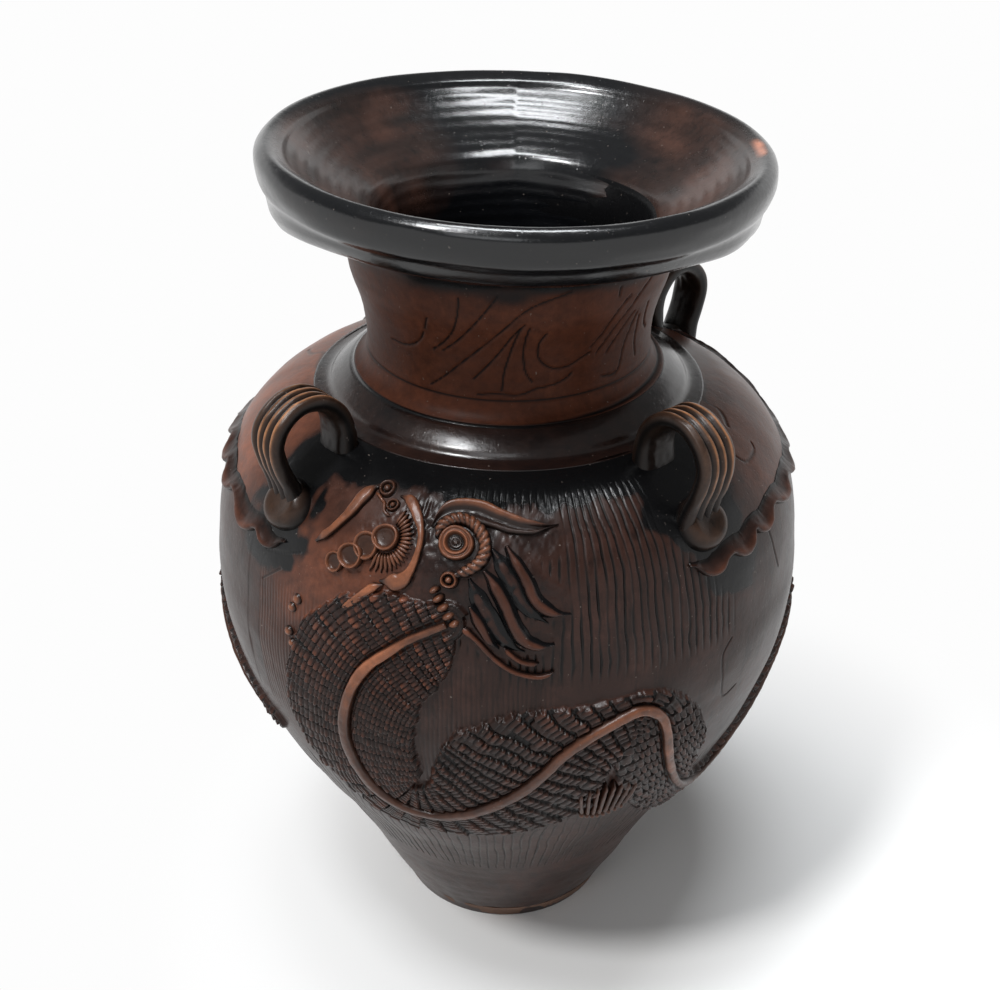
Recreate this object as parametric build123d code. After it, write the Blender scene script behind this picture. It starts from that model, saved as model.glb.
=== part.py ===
# Martaban storage jar: glazed stoneware, four strap lugs, applied dragon relief.
# Millimetres, +Z up. The origin is the centre of the underside of the base.
# The viewer of the front stands on the -Y side. An azimuth is in degrees, 0 at the front, growing to the right.
# Outlines are shares: a radius is a share of belly_radius, a height is a share of jar_height.
import math
import os
from build123d import *

# Main sizes of the jar
jar_height = 595.0
belly_radius = 205.0
wall_thickness = 11.0
base_thickness = 13.0
mouth_tilt = 1.55
mouth_shift = 2.3

# Heights where one section is luted to the next
foot_top = 93.0
belly_joint = 290.0
collar_bottom = 430.0
collar_top = 446.0
neck_top_share = 0.9176
neck_top = neck_top_share * jar_height

# Lugs
lug_width = 28.0
lug_thickness = 12.0
lug_groove = 1.5
lug_pad_length = 36.0
lug_pad_width = 38.0
lug_pad_lift = 12.0
lug_azimuths = {"front_left": -50.0, "front_right": 40.0, "back_right": 134.0, "back_left": 212.0}

# Applied relief
relief_depth = 4.0
band_lift = 4.0
band_width = 50.0
ridge_width = 7.5
ridge_lift = 7.0
frill_width = 9.0
frill_lift = 8.0
jaw_width = 6.5
jaw_lift = 4.5
rope_width = 6.0
rope_lift = 5.0
horn_width = 8.5
mane_width = 5.5
mane_lift = 4.0
whisker_width = 3.0
whisker_lift = 2.4
bump_lift = 5.5
bump_dish = 2.0
tooth_length = 6.5
tooth_width = 1.8
tooth_lift = 3.2
claw_lift = 3.5
claw_width = 5.0
probe = 3.0

# Outer outline of the jar below the mouth, from the base up
wall_shares = [
    (0.390, 0.000), (0.405, 0.013), (0.430, 0.030), (0.468, 0.057), (0.512, 0.088), (0.566, 0.128),
    (0.620, 0.165), (0.688, 0.208), (0.766, 0.252), (0.839, 0.299), (0.898, 0.343), (0.941, 0.387),
    (0.976, 0.430), (0.995, 0.474), (1.000, 0.511), (0.990, 0.548), (0.978, 0.585), (0.959, 0.615),
    (0.924, 0.645), (0.878, 0.671), (0.815, 0.692), (0.737, 0.710), (0.644, 0.7227),
]
collar_shares = [(0.644, 0.7227), (0.595, 0.7252), (0.576, 0.733), (0.546, 0.741), (0.507, 0.7496)]
neck_shares = [
    (0.507, 0.7496), (0.478, 0.758), (0.463, 0.771), (0.461, 0.790), (0.468, 0.815), (0.483, 0.837),
    (0.507, 0.862), (0.520, 0.884), (0.532, 0.904), (0.551, neck_top_share),
]
# Inner outline from the throat down to the floor
throat_shares = [(0.449, neck_top_share), (0.415, 0.880), (0.405, 0.830), (0.405, 0.785), (0.425, 0.755), (0.500, 0.732)]

# Mouth outlines, each closed
flare_shares = [
    (0.449, neck_top_share), (0.454, 0.929), (0.507, 0.939), (0.576, 0.952), (0.644, 0.968), (0.698, 0.984),
    (0.712, 0.9916), (0.741, 0.952), (0.683, 0.942), (0.634, 0.9345), (0.585, 0.927), (0.551, neck_top_share),
]
lower_ring_shares = [(0.585, 0.927), (0.607, 0.9225), (0.644, 0.925), (0.673, 0.934), (0.683, 0.942), (0.634, 0.9345)]
upper_ring_shares = [(0.683, 0.942), (0.707, 0.9355), (0.737, 0.939), (0.757, 0.948), (0.741, 0.952)]
lip_shares = [
    (0.712, 0.9916), (0.741, 0.999), (0.766, 1.000), (0.785, 0.994), (0.797, 0.985), (0.797, 0.973),
    (0.786, 0.962), (0.768, 0.954), (0.741, 0.952),
]
# Middle line of a lug strap, from its root on the shoulder to its foot on the wall
lug_shares = [
    (0.683, 0.713), (0.685, 0.736), (0.707, 0.760), (0.766, 0.777), (0.839, 0.779), (0.902, 0.765),
    (0.927, 0.744), (0.915, 0.719), (0.888, 0.695), (0.878, 0.676),
]

# Dragon's back ridge, as azimuth, height share, and widths of the scaled clay below and above it as shares of band_width
ridge_path_shares = [
    (-10.5, 0.608, 0.16, 0.18), (-13.0, 0.600, 0.44, 0.30), (-17.0, 0.586, 0.60, 0.56), (-20.5, 0.568, 0.66, 0.74),
    (-24.0, 0.548, 0.76, 0.84), (-26.8, 0.521, 0.80, 0.92), (-28.8, 0.487, 0.84, 0.92), (-29.9, 0.453, 0.88, 0.90),
    (-29.9, 0.420, 0.88, 0.84), (-28.9, 0.388, 0.86, 0.74), (-27.0, 0.362, 0.80, 0.64), (-23.5, 0.341, 0.60, 0.60),
    (-19.0, 0.332, 0.54, 0.60), (-14.0, 0.332, 0.60, 0.62), (-9.5, 0.340, 0.68, 0.70), (-5.0, 0.354, 0.88, 0.84),
    (-0.5, 0.375, 1.10, 0.96), (3.5, 0.398, 1.20, 1.04), (7.0, 0.427, 1.16, 1.02), (10.0, 0.452, 0.88, 1.00),
    (14.0, 0.472, 0.50, 1.00), (18.5, 0.488, 0.26, 1.00), (22.5, 0.496, 0.17, 1.00), (25.5, 0.491, 0.20, 0.98),
    (28.0, 0.475, 0.30, 0.86), (29.6, 0.450, 0.44, 0.70), (31.0, 0.420, 0.54, 0.66), (33.0, 0.388, 0.54, 0.66),
    (36.0, 0.354, 0.34, 0.62), (39.5, 0.327, 0.16, 0.58), (44.0, 0.304, 0.08, 0.52), (49.5, 0.290, 0.07, 0.48),
    (56.0, 0.290, 0.07, 0.48), (62.0, 0.304, 0.08, 0.52), (67.0, 0.331, 0.10, 0.56), (71.5, 0.364, 0.12, 0.56),
    (75.5, 0.398, 0.16, 0.50), (80.0, 0.428, 0.20, 0.44), (86.0, 0.446, 0.22, 0.40), (92.5, 0.447, 0.22, 0.36),
    (99.0, 0.432, 0.20, 0.32), (105.0, 0.410, 0.20, 0.28), (111.0, 0.388, 0.18, 0.22), (118.0, 0.372, 0.14, 0.16),
    (125.0, 0.366, 0.08, 0.09),
]

# Head of the dragon, as azimuth and height share
upper_jaw_shares = [(-30.3, 0.7065), (-32.0, 0.700), (-33.0, 0.688), (-34.4, 0.676), (-36.0, 0.665), (-38.4, 0.651)]
cheek_shares = [
    (-24.3, 0.704), (-21.2, 0.701), (-18.8, 0.694), (-17.1, 0.686), (-16.8, 0.675), (-17.3, 0.663), (-18.0, 0.652),
    (-18.6, 0.6425),
]
lower_jaw_shares = [
    (-17.9, 0.6355), (-20.0, 0.6320), (-22.4, 0.6350), (-24.4, 0.6310), (-26.2, 0.6210), (-28.2, 0.6100),
    (-30.6, 0.5980),
]
snout_shares = [(-30.0, 0.6515, 0.039), (-24.0, 0.674, 0.0488), (-33.1, 0.641, 0.0302), (-27.6, 0.6645, 0.0419)]
tooth_shares = [
    (-21.9, 0.6885), (-20.4, 0.6855), (-19.4, 0.681), (-18.9, 0.6755), (-18.9, 0.6700), (-19.3, 0.6645),
    (-20.1, 0.6595), (-21.3, 0.6550), (-22.8, 0.6520),
]
rope_shares = [
    (-13.9, 0.684), (-13.4, 0.6905), (-11.3, 0.6955), (-8.4, 0.6955), (-5.9, 0.690), (-4.6, 0.683), (-4.3, 0.6745),
    (-5.1, 0.667), (-6.8, 0.6610), (-8.4, 0.6560),
]
horn_shares = [
    (-14.4, 0.6985), (-12.6, 0.7035), (-10.0, 0.7055), (-5.0, 0.7030), (0.0, 0.6980), (5.0, 0.6945), (9.5, 0.6935),
]
mane_shares = [
    [(-0.3, 0.6765), (1.0, 0.669), (2.6, 0.659), (3.6, 0.648), (4.4, 0.637), (5.8, 0.628), (8.0, 0.622), (11.0, 0.619)],
    [(-4.0, 0.659), (-2.8, 0.650), (-1.4, 0.641), (-0.4, 0.630), (0.5, 0.6185), (1.6, 0.605), (3.2, 0.594),
     (5.3, 0.5885), (8.0, 0.5895)],
    [(-6.6, 0.626), (-5.4, 0.617), (-4.2, 0.606), (-3.1, 0.595), (-1.4, 0.586)],
]
whisker_shares = [
    [(-7.2, 0.6015), (-6.0, 0.595), (-4.9, 0.588), (-4.0, 0.578), (-2.6, 0.568), (-0.8, 0.560)],
    [(0.2, 0.580), (1.6, 0.570), (3.6, 0.561), (6.4, 0.556)],
]
# Small round pieces, as azimuth, height share and radius share of belly_radius
eye_shares = (-10.1, 0.680, 0.022)
eye_ring_shares = (-10.1, 0.680, 0.042)
boss_shares = [(-10.5, 0.6480, 0.021)]
bead_shares = [
    (-12.6, 0.6385, 0.0145), (-11.6, 0.6305, 0.0145), (-10.5, 0.6228, 0.0145), (-9.3, 0.6150, 0.0135),
]
rosette_shares = [(-27.9, 0.7065, 0.025), (-25.2, 0.6975, 0.018)]
knob_shares = [(-40.6, 0.587, 0.017), (-41.6, 0.571, 0.015), (-42.6, 0.543, 0.017), (-41.6, 0.532, 0.014)]
claw_shares = [
    [(24.0, 0.377), (19.0, 0.345), (15.5, 0.318)], [(25.0, 0.372), (21.5, 0.338), (19.5, 0.310)],
    [(26.2, 0.368), (24.5, 0.334), (24.0, 0.308)], [(27.6, 0.366), (28.0, 0.336), (28.6, 0.314)],
]
# Clay band between two lugs, as degrees from the middle of the side towards the back and height share
frill_shares = [
    (-50.0, 0.632), (-44.0, 0.630), (-38.0, 0.637), (-31.0, 0.643), (-23.0, 0.646), (-15.0, 0.646), (-5.0, 0.648),
    (5.0, 0.650), (14.0, 0.655), (22.0, 0.667), (29.0, 0.681), (35.0, 0.688), (40.0, 0.682), (45.0, 0.664),
    (49.0, 0.645),
]


def points(shares):
    """Radius and height of each point of an outline given in shares."""
    return [(radius * belly_radius, height * jar_height) for radius, height in shares]


def wall_radius(height):
    """Outer radius of the jar below the mouth at a height."""
    rows = points(wall_shares + collar_shares[1:] + neck_shares[1:])
    for (r0, z0), (r1, z1) in zip(rows, rows[1:]):
        if height <= z1:
            return r0 + (r1 - r0) * (height - z0) / (z1 - z0)
    return rows[-1][0]


def wall_point(azimuth, height, lift):
    """Point that stands off the wall by lift, along the wall's normal."""
    slope = (wall_radius(height + probe) - wall_radius(height - probe)) / (2 * probe)
    length = math.hypot(1, slope)
    radius = wall_radius(height) + lift / length
    turn = math.radians(azimuth)
    return Vector(radius * math.sin(turn), -radius * math.cos(turn), height - lift * slope / length)


def wall_normal(azimuth, height):
    """Direction out of the wall."""
    return (wall_point(azimuth, height, probe) - wall_point(azimuth, height, 0)).normalized()


def smooth(rows, steps=3):
    """Rows of numbers with a smooth curve's rows put between them."""
    out = []
    for i in range(len(rows) - 1):
        a, b, c, d = rows[max(i - 1, 0)], rows[i], rows[i + 1], rows[min(i + 2, len(rows) - 1)]
        for k in range(steps):
            t = k / steps
            row = []
            for p, q, r, s in zip(a, b, c, d):
                bend = (2 * p - 5 * q + 4 * r - s) * t * t + (3 * q - p - 3 * r + s) * t ** 3
                row.append((2 * q + (r - p) * t + bend) / 2)
            out.append(tuple(row))
    out.append(tuple(rows[-1]))
    return out


def stations(path):
    """Frame at each row of a path on the wall: place, direction across, direction out, direction along."""
    places = [wall_point(row[0], row[1] * jar_height, 0) for row in path]
    frames = []
    for i, row in enumerate(path):
        along = (places[min(i + 1, len(path) - 1)] - places[max(i - 1, 0)]).normalized()
        across = wall_normal(row[0], row[1] * jar_height).cross(along).normalized()
        frames.append((places[i], across, along.cross(across).normalized(), along))
    return frames


def skin(sections):
    """Solid through closed corner lists, with straight edges from each section to the next."""
    return Solid.make_loft([Wire.make_polygon(corners, close=True) for corners in sections], ruled=True)


def trimmed(shape, *cutters):
    """What is left of a shape outside the cutters, as its largest solid."""
    for cutter in cutters:
        shape = shape - cutter
    return max(shape.solids(), key=lambda solid: solid.volume)


def revolved(outline):
    """Full turn of a closed face in the XZ plane."""
    return revolve(outline, axis=Axis.Z)


def xz(rows):
    """Points of the XZ plane."""
    return [Vector(radius, 0, height) for radius, height in rows]


def closed_face(*edges):
    """Face inside edges that meet end to end."""
    return Face(Wire(edges))


def inner_points():
    """Inner outline from the shoulder down to the floor, one wall thickness inside the outer one."""
    rows = []
    for radius, height in points(wall_shares[3:21]):
        slope = (wall_radius(height + probe) - wall_radius(height - probe)) / (2 * probe)
        length = math.hypot(1, slope)
        rows.append((radius - wall_thickness / length, height + wall_thickness * slope / length))
    return rows[::-1]


def make_core():
    """Solid with the jar's outer shape below the mouth and no hollow."""
    foot, *wall = xz(points(wall_shares))
    collar = xz(points(collar_shares))
    neck = xz(points(neck_shares))
    top = Vector(0, 0, neck[-1].Z)
    return revolved(closed_face(
        Edge.make_line(Vector(0, 0, 0), foot),
        Edge.make_line(foot, wall[0]),
        Edge.make_spline(wall),
        Edge.make_spline(collar),
        Edge.make_spline(neck),
        Edge.make_line(neck[-1], top),
        Edge.make_line(top, Vector(0, 0, 0)),
    ))


def make_hollow():
    """Space inside the jar below the mouth."""
    throat = xz(points(throat_shares))
    inner = xz(inner_points())
    floor = Vector(inner[-1].X * 0.86, 0, base_thickness)
    middle = Vector(0, 0, base_thickness)
    top = Vector(0, 0, throat[0].Z)
    return revolved(closed_face(
        Edge.make_line(top, throat[0]),
        Edge.make_spline(throat + inner),
        Edge.make_line(inner[-1], floor),
        Edge.make_line(floor, middle),
        Edge.make_line(middle, top),
    ))


def slab(low, high):
    """Block wider than the jar between two heights."""
    return Pos(0, 0, (low + high) / 2) * Box(4 * belly_radius, 4 * belly_radius, high - low)


def tilted(shape):
    """Shape leaned with the mouth about the neck's top, as the jar was thrown."""
    return Pos(mouth_shift, 0, neck_top) * Rot(0, mouth_tilt, 0) * Pos(0, 0, -neck_top) * shape


def make_wall(core, hollow):
    """Thrown sections of the jar below the mouth."""
    shell = core - hollow
    cuts = [0, base_thickness, foot_top, belly_joint, collar_bottom, collar_top]
    names = ["base_disc", "foot_wall", "lower_wall", "upper_wall", "neck_collar"]
    nodes = {name: trimmed(shell & slab(low, high)) for name, low, high in zip(names, cuts, cuts[1:])}
    above = tilted(slab(neck_top, jar_height + belly_radius))
    nodes["neck"] = trimmed((shell & slab(collar_top, jar_height)), above)
    return nodes


def ring_of(shares, curved):
    """Ring turned from a closed outline. The listed runs of corners are curved, the others straight."""
    rows = xz(points(shares))
    edges = []
    i = 0
    while i < len(rows):
        run = next((run for run in curved if run[0] == i), None)
        j = run[1] if run else i + 1
        corners = [rows[k % len(rows)] for k in range(i, j + 1)]
        edges.append(Edge.make_spline(corners) if run else Edge.make_line(*corners))
        i = j
    return tilted(revolved(closed_face(*edges)))


def make_mouth():
    """Flared mouth, the two rings under it and the rolled lip."""
    return {
        "mouth_flare": ring_of(flare_shares, [(1, 6)]),
        "mouth_ring_lower": ring_of(lower_ring_shares, [(0, 4)]),
        "mouth_ring_upper": ring_of(upper_ring_shares, [(0, 4)]),
        "lip_roll": ring_of(lip_shares, [(0, 8)]),
    }


def lug_section(place, out, across):
    """Corners of the strap's cross-section: flat inside, four ribs outside."""
    half = lug_width / 2
    thick = lug_thickness / 2
    rows = [(-half, -thick), (half, -thick), (half, thick - lug_groove)]
    for rib in range(4):
        middle = half - (rib + 0.5) * lug_width / 4
        rows.append((middle + lug_width / 14, thick))
        rows.append((middle - lug_width / 14, thick))
        if rib < 3:
            rows.append((middle - lug_width / 8, thick - lug_groove))
    rows.append((-half, thick - lug_groove))
    return [place + across * x + out * y for x, y in rows]


def make_lug(azimuth, core):
    """One strap lug, from the shoulder out and down to the wall."""
    turn = math.radians(azimuth)
    outward = Vector(math.sin(turn), -math.cos(turn), 0)
    across = Vector(math.cos(turn), math.sin(turn), 0)
    path = [outward * (r * belly_radius) + Vector(0, 0, z * jar_height) for r, z in smooth(lug_shares, 2)]
    sections = []
    for i, place in enumerate(path):
        along = (path[min(i + 1, len(path) - 1)] - path[max(i - 1, 0)]).normalized()
        sections.append(lug_section(place, across.cross(along).normalized() * -1, across))
    return trimmed(skin(sections), core)


def wall_plane(azimuth, height):
    """Plane that touches the wall, with its local Y up the wall and its Z out of it."""
    normal = wall_normal(azimuth, height)
    sideways = Vector(math.cos(math.radians(azimuth)), math.sin(math.radians(azimuth)), 0)
    return Plane(wall_point(azimuth, height, 0), x_dir=sideways, z_dir=normal)


def turned_on_wall(azimuth, height, *edges):
    """Solid turned about the wall's normal from edges in the XZ plane."""
    return wall_plane(azimuth, height).location * revolved(closed_face(*edges))


def dome(azimuth, height, radius, lift):
    """Low round pad of clay that stands off the wall."""
    bottom = Vector(0, 0, -relief_depth)
    corner = Vector(radius, 0, -relief_depth)
    edge = Vector(radius, 0, 0)
    shoulder = Vector(0.78 * radius, 0, 0.72 * lift)
    brim = Vector(0.3 * radius, 0, lift)
    crown = Vector(0, 0, lift)
    return turned_on_wall(
        azimuth, height,
        Edge.make_line(bottom, corner),
        Edge.make_line(corner, edge),
        Edge.make_three_point_arc(edge, shoulder, brim),
        Edge.make_line(brim, crown),
        Edge.make_line(crown, bottom),
    )


def make_lug_pad(azimuth, core, lug):
    """Thumbed pad where a lug ends on the wall."""
    foot = wall_plane(azimuth, lug_shares[-1][1] * jar_height - lug_pad_length / 10).location
    half = lug_pad_width / 2
    pad = scale(Sphere(half), by=(1, lug_pad_length / lug_pad_width, lug_pad_lift / half))
    return trimmed(foot * pad, core, lug)


def cord(path, width, lift, core, start=0.3, end=0.3, steps=3):
    """Rounded strip of clay along a path on the wall, narrower at its two ends."""
    rows = smooth(path, steps)
    sections = []
    for i, (place, across, out, along) in enumerate(stations(rows)):
        run = i / (len(rows) - 1)
        full = min(1, start + run * 5, end + (1 - run) * 5)
        half, top = full * width / 2, lift * (0.4 + 0.6 * full)
        shape = [(-half, -relief_depth), (-half, 0.3 * top), (-half / 2, 0.88 * top), (0, top),
                 (half / 2, 0.88 * top), (half, 0.3 * top), (half, -relief_depth)]
        sections.append([place + across * x + out * y for x, y in shape])
    return trimmed(skin(sections), core)


def ridge_half(run):
    """Half of the back ridge's width, smaller towards the tail."""
    return ridge_width / 2 * min(1, 0.35 + 1.3 * (1 - run))


def make_ridge(core):
    """Smooth ridge along the dragon's back."""
    rows = ridge_path_shares
    sections = []
    for i, (place, across, out, along) in enumerate(stations(rows)):
        half = ridge_half(i / (len(rows) - 1))
        top = ridge_lift * half / (ridge_width / 2)
        shape = [(-half, -relief_depth), (-half, 0.7 * top), (-half / 2, 0.95 * top), (0, top),
                 (half / 2, 0.95 * top), (half, 0.7 * top), (half, -relief_depth)]
        sections.append([place + across * x + out * y for x, y in shape])
    return trimmed(skin(sections), core)


def make_band(side, core):
    """Scaled clay on one side of the ridge: -1 is the outer side of the first loop, 1 the inner side."""
    rows = ridge_path_shares
    sections = []
    for i, (place, across, out, along) in enumerate(stations(rows)):
        half = ridge_half(i / (len(rows) - 1))
        share = rows[i][2] if side < 0 else rows[i][3]
        wide = half + max(share, 0.02) * band_width
        top, under = [], []
        for k in range(4):
            reach = half + (wide - half) * k / 3
            aim = place + across * (side * reach)
            azimuth = math.degrees(math.atan2(aim.X, -aim.Y))
            flat = wall_point(azimuth, aim.Z, 0)
            shift = flat - place
            x, y = shift.dot(across), shift.dot(out)
            if k == 0:
                x = side * half
                y = 0
            lift = band_lift * (0.55 if k == 3 else 1)
            top.append(place + across * x + out * (y + lift))
            under.append(place + across * x + out * (y - relief_depth))
        sections.append(top + under[::-1])
    return trimmed(skin(sections), core)


def make_snout(core):
    """Four dished bumps in a row on the snout, the first two whole and the others tucked under them."""
    whole = []
    for azimuth, height, radius in snout_shares:
        spot = wall_plane(azimuth, height * jar_height).location
        size = radius * belly_radius
        dished = 0.8 * size
        disc = Pos(0, 0, bump_lift / 2 - relief_depth / 2) * Cylinder(size, bump_lift + relief_depth)
        dish = Pos(0, 0, bump_lift) * scale(Sphere(dished), by=(1, 1, bump_dish / dished))
        whole.append((spot * disc, spot * dish))
    bumps = []
    for i, (disc, dish) in enumerate(whole):
        cutters = [other for other, _ in whole[:i]]
        bumps.append(trimmed(disc - dish, core, *cutters))
    return bumps


def make_teeth(core, cheek, bumps):
    """Short ridges that fan out round the last bump of the snout."""
    teeth = []
    middle = wall_point(snout_shares[1][0], snout_shares[1][1] * jar_height, 0)
    for azimuth, height in tooth_shares:
        place = wall_point(azimuth, height * jar_height, 0)
        normal = wall_normal(azimuth, height * jar_height)
        frame = Plane(place, x_dir=place - middle, z_dir=normal)
        block = Pos(0, 0, tooth_lift / 2 - relief_depth / 2)
        block = block * Box(tooth_length, tooth_width, tooth_lift + relief_depth)
        teeth.append(trimmed(frame.location * block, core, cheek, bumps[1]))
    return teeth


def make_eye(core):
    """Eyeball and the ring round it."""
    azimuth, height, size = eye_shares
    outer = eye_ring_shares[2] * belly_radius
    inner = size * belly_radius
    ball = dome(azimuth, height * jar_height, inner, 0.6 * inner)
    rows = xz([(inner, -relief_depth), (outer, -relief_depth), (outer, 0.5 * jaw_lift), (inner, 0.5 * jaw_lift)])
    crown = Vector((inner + outer) / 2, 0, jaw_lift)
    ring = turned_on_wall(
        azimuth, height * jar_height,
        Edge.make_line(rows[0], rows[1]),
        Edge.make_line(rows[1], rows[2]),
        Edge.make_three_point_arc(rows[2], crown, rows[3]),
        Edge.make_line(rows[3], rows[0]),
    )
    return trimmed(ball, core), trimmed(ring, core)


def make_rounds(shares, core, *cutters):
    """Small domes pressed on the wall."""
    return [
        trimmed(dome(azimuth, height * jar_height, size * belly_radius, 0.62 * size * belly_radius), core, *cutters)
        for azimuth, height, size in shares
    ]


def make_dragon(core):
    """Every piece of the dragon on the front, by name."""
    cheek = cord(cheek_shares, jaw_width, jaw_lift, core, start=0.6, end=0.9)
    bumps = make_snout(core)
    rope = cord(rope_shares, rope_width, rope_lift, core, start=0.6, end=0.8)
    eye, eye_ring = make_eye(core)
    upper = make_band(1, core)
    lower = make_band(-1, core)
    claws = [trimmed(cord(path, claw_width, claw_lift, core), lower, upper) for path in claw_shares]
    jaw = cord(lower_jaw_shares, jaw_width, jaw_lift, core, start=0.9, end=0.2)
    rosettes = make_rounds(rosette_shares, core, cheek)
    return {
        "scales_outer": [lower],
        "scales_inner": [upper],
        "back_ridge": [make_ridge(core)],
        "claws": claws,
        "upper_jaw": [cord(upper_jaw_shares, jaw_width, jaw_lift, core, start=0.8, end=0.2)],
        "cheek_strip": [cheek],
        "lower_jaw": [trimmed(jaw, cheek, lower)],
        "snout_bumps": bumps,
        "teeth": make_teeth(core, cheek, bumps),
        "eyeball": [eye],
        "eye_ring": [eye_ring],
        "brow_rope": [rope],
        "brow_boss": make_rounds(boss_shares, core, rope),
        "cheek_beads": make_rounds(bead_shares, core, lower, upper),
        "horn": [trimmed(cord(horn_shares, horn_width, mane_lift, core, start=0.3, end=0.1), rope)],
        "mane": [cord(path, mane_width, mane_lift, core, start=0.5, end=0.2) for path in mane_shares],
        "whiskers": [trimmed(cord(path, whisker_width, whisker_lift, core), upper) for path in whisker_shares],
        "rosettes": rosettes,
        "knobs": make_rounds(knob_shares, core, lower),
    }


def make_frill(middle, way, core, cutters):
    """Band between two lugs on one side of the jar. The way is 1 if azimuths grow towards the back there, or -1."""
    path = [(middle + way * turn, height) for turn, height in frill_shares]
    return trimmed(cord(path, frill_width, frill_lift, core, start=0.4, end=0.4), *cutters)


def back_copy(solids):
    """The same pieces on the back of the jar."""
    return [Rot(0, 0, 180) * solid for solid in solids]


def main():
    """Build every piece and write one STEP file for each."""
    os.makedirs("parts", exist_ok=True)
    core = make_core()
    nodes = {name: [shape] for name, shape in make_wall(core, make_hollow()).items()}
    nodes.update({name: [shape] for name, shape in make_mouth().items()})
    first = lug_azimuths["front_right"]
    lug = make_lug(first, core)
    pad = make_lug_pad(first, core, lug)
    turns = {name: Rot(0, 0, azimuth - first) for name, azimuth in lug_azimuths.items()}
    lugs = [turn * lug for turn in turns.values()]
    pads = [turn * pad for turn in turns.values()]
    for name, solid in zip(turns, lugs):
        nodes["lug_" + name] = [solid]
    nodes["lug_thumb_pads"] = pads
    nodes["frill_right"] = [make_frill(85.0, 1, core, lugs + pads)]
    nodes["frill_left"] = [make_frill(-97.0, -1, core, lugs + pads)]
    shared = ["snout_bumps", "teeth", "eyeball", "eye_ring", "brow_rope", "brow_boss", "cheek_beads", "rosettes", "knobs"]
    for name, solids in make_dragon(core).items():
        if name in shared:
            nodes["dragon_" + name] = solids + back_copy(solids)
        else:
            nodes["dragon_front_" + name] = solids
            nodes["dragon_back_" + name] = back_copy(solids)
    for name, solids in nodes.items():
        shape = solids[0] if len(solids) == 1 else Compound(children=solids)
        export_step(shape, os.path.join("parts", name + ".step"))
    print(len(nodes), "nodes written")


main()
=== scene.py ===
import logging
import math
from dataclasses import dataclass, field
from enum import Enum

import bpy
import numpy as np
from mathutils import Matrix, Vector


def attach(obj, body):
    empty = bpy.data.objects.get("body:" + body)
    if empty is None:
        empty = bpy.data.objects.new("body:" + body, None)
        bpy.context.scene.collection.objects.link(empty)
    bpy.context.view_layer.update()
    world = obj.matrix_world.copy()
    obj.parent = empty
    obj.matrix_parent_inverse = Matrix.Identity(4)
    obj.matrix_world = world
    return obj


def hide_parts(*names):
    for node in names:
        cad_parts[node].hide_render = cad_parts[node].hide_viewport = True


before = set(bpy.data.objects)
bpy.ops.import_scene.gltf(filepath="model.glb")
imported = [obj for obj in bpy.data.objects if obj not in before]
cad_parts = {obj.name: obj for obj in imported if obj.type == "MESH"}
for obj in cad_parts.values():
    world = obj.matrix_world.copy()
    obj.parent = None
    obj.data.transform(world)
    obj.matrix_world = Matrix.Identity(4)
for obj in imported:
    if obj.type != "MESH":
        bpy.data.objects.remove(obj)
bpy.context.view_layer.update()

LOG = logging.getLogger("jar")
Array = np.ndarray
Material = bpy.types.Material
Tree = bpy.types.NodeTree
Socket = bpy.types.NodeSocket
Row = tuple[float, ...]
Path = tuple[Row, ...]
Paths = tuple[Path, ...]

MILLIMETRE = 0.001
HALF_TURN = 180.0
FULL_TURN = 360.0
FAR = 1e3
TINY = 1e-6
# What each point of a mesh tells its glaze, and names for two finishes
GLAZE_VALUES = ("crest", "wear", "pool")
BROWN_SLOT = "brown_glaze"
RELIEF_SLOT = "worn_relief_glaze"
# Points that a smooth curve gets for each given one
OUTLINE_STEPS = 24
STROKE_STEPS = 5
RIDGE_STEPS = 4
STRIP_STEPS = 12
ROUND_STEPS = 5
INNER_STEPS = 4
MOUTH_STEPS = 10
LUG_STEPS = 12
FRILL_STEPS = 6
# Scatter: how fast it turns with each whole number and with the seed, and how far its digits are spread
HASH_TURNS = (127.1, 311.7, 74.7)
HASH_SPREAD = 43758.5453
# Half the length over which an outline's slope is taken
SLOPE_REACH = 1.2


# ---------------------------------------------------------------- numbers

def linear(colour: str) -> tuple[float, float, float, float]:
    """Linear light of an sRGB hex colour.

    Args:
        colour: "#rrggbb".

    Returns:
        Red, green, blue and an alpha of one. Each is (c + 0.055) / 1.055 to the power 2.4, or c / 12.92 when dark.
    """
    shares = [int(colour[i:i + 2], 16) / 255 for i in (1, 3, 5)]
    light = [c / 12.92 if c <= 0.04045 else ((c + 0.055) / 1.055) ** 2.4 for c in shares]
    return (*light, 1.0)


def ramp(low: float, high: float, x: Array) -> Array:
    """Smooth step from 0 at low to 1 at high: t squared times (3 - 2 t)."""
    t = np.clip((x - low) / (high - low), 0.0, 1.0)
    return t * t * (3.0 - 2.0 * t)


def fall(low: float, high: float, x: Array) -> Array:
    """Smooth step from 1 at low to 0 at high."""
    return 1.0 - ramp(low, high, x)


def hill(centre: float, half: float, soft: float, x: Array) -> Array:
    """One near the centre, falling to nothing over the soft distance beyond the half width."""
    return fall(half, half + soft, np.abs(x - centre))


def hashed(i: Array, j: Array, seed: int) -> Array:
    """Fixed scatter in -1..1 for each pair of whole numbers: the sine of a mixed sum, spread, less its whole part.

    Args:
        i: Whole numbers along.
        j: Whole numbers across.
        seed: Picks the scatter.

    Returns:
        One value for each pair.
    """
    first, second, third = HASH_TURNS
    mixed = np.sin(i * first + j * second + seed * third) * HASH_SPREAD
    return 2.0 * (mixed - np.floor(mixed)) - 1.0


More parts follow.
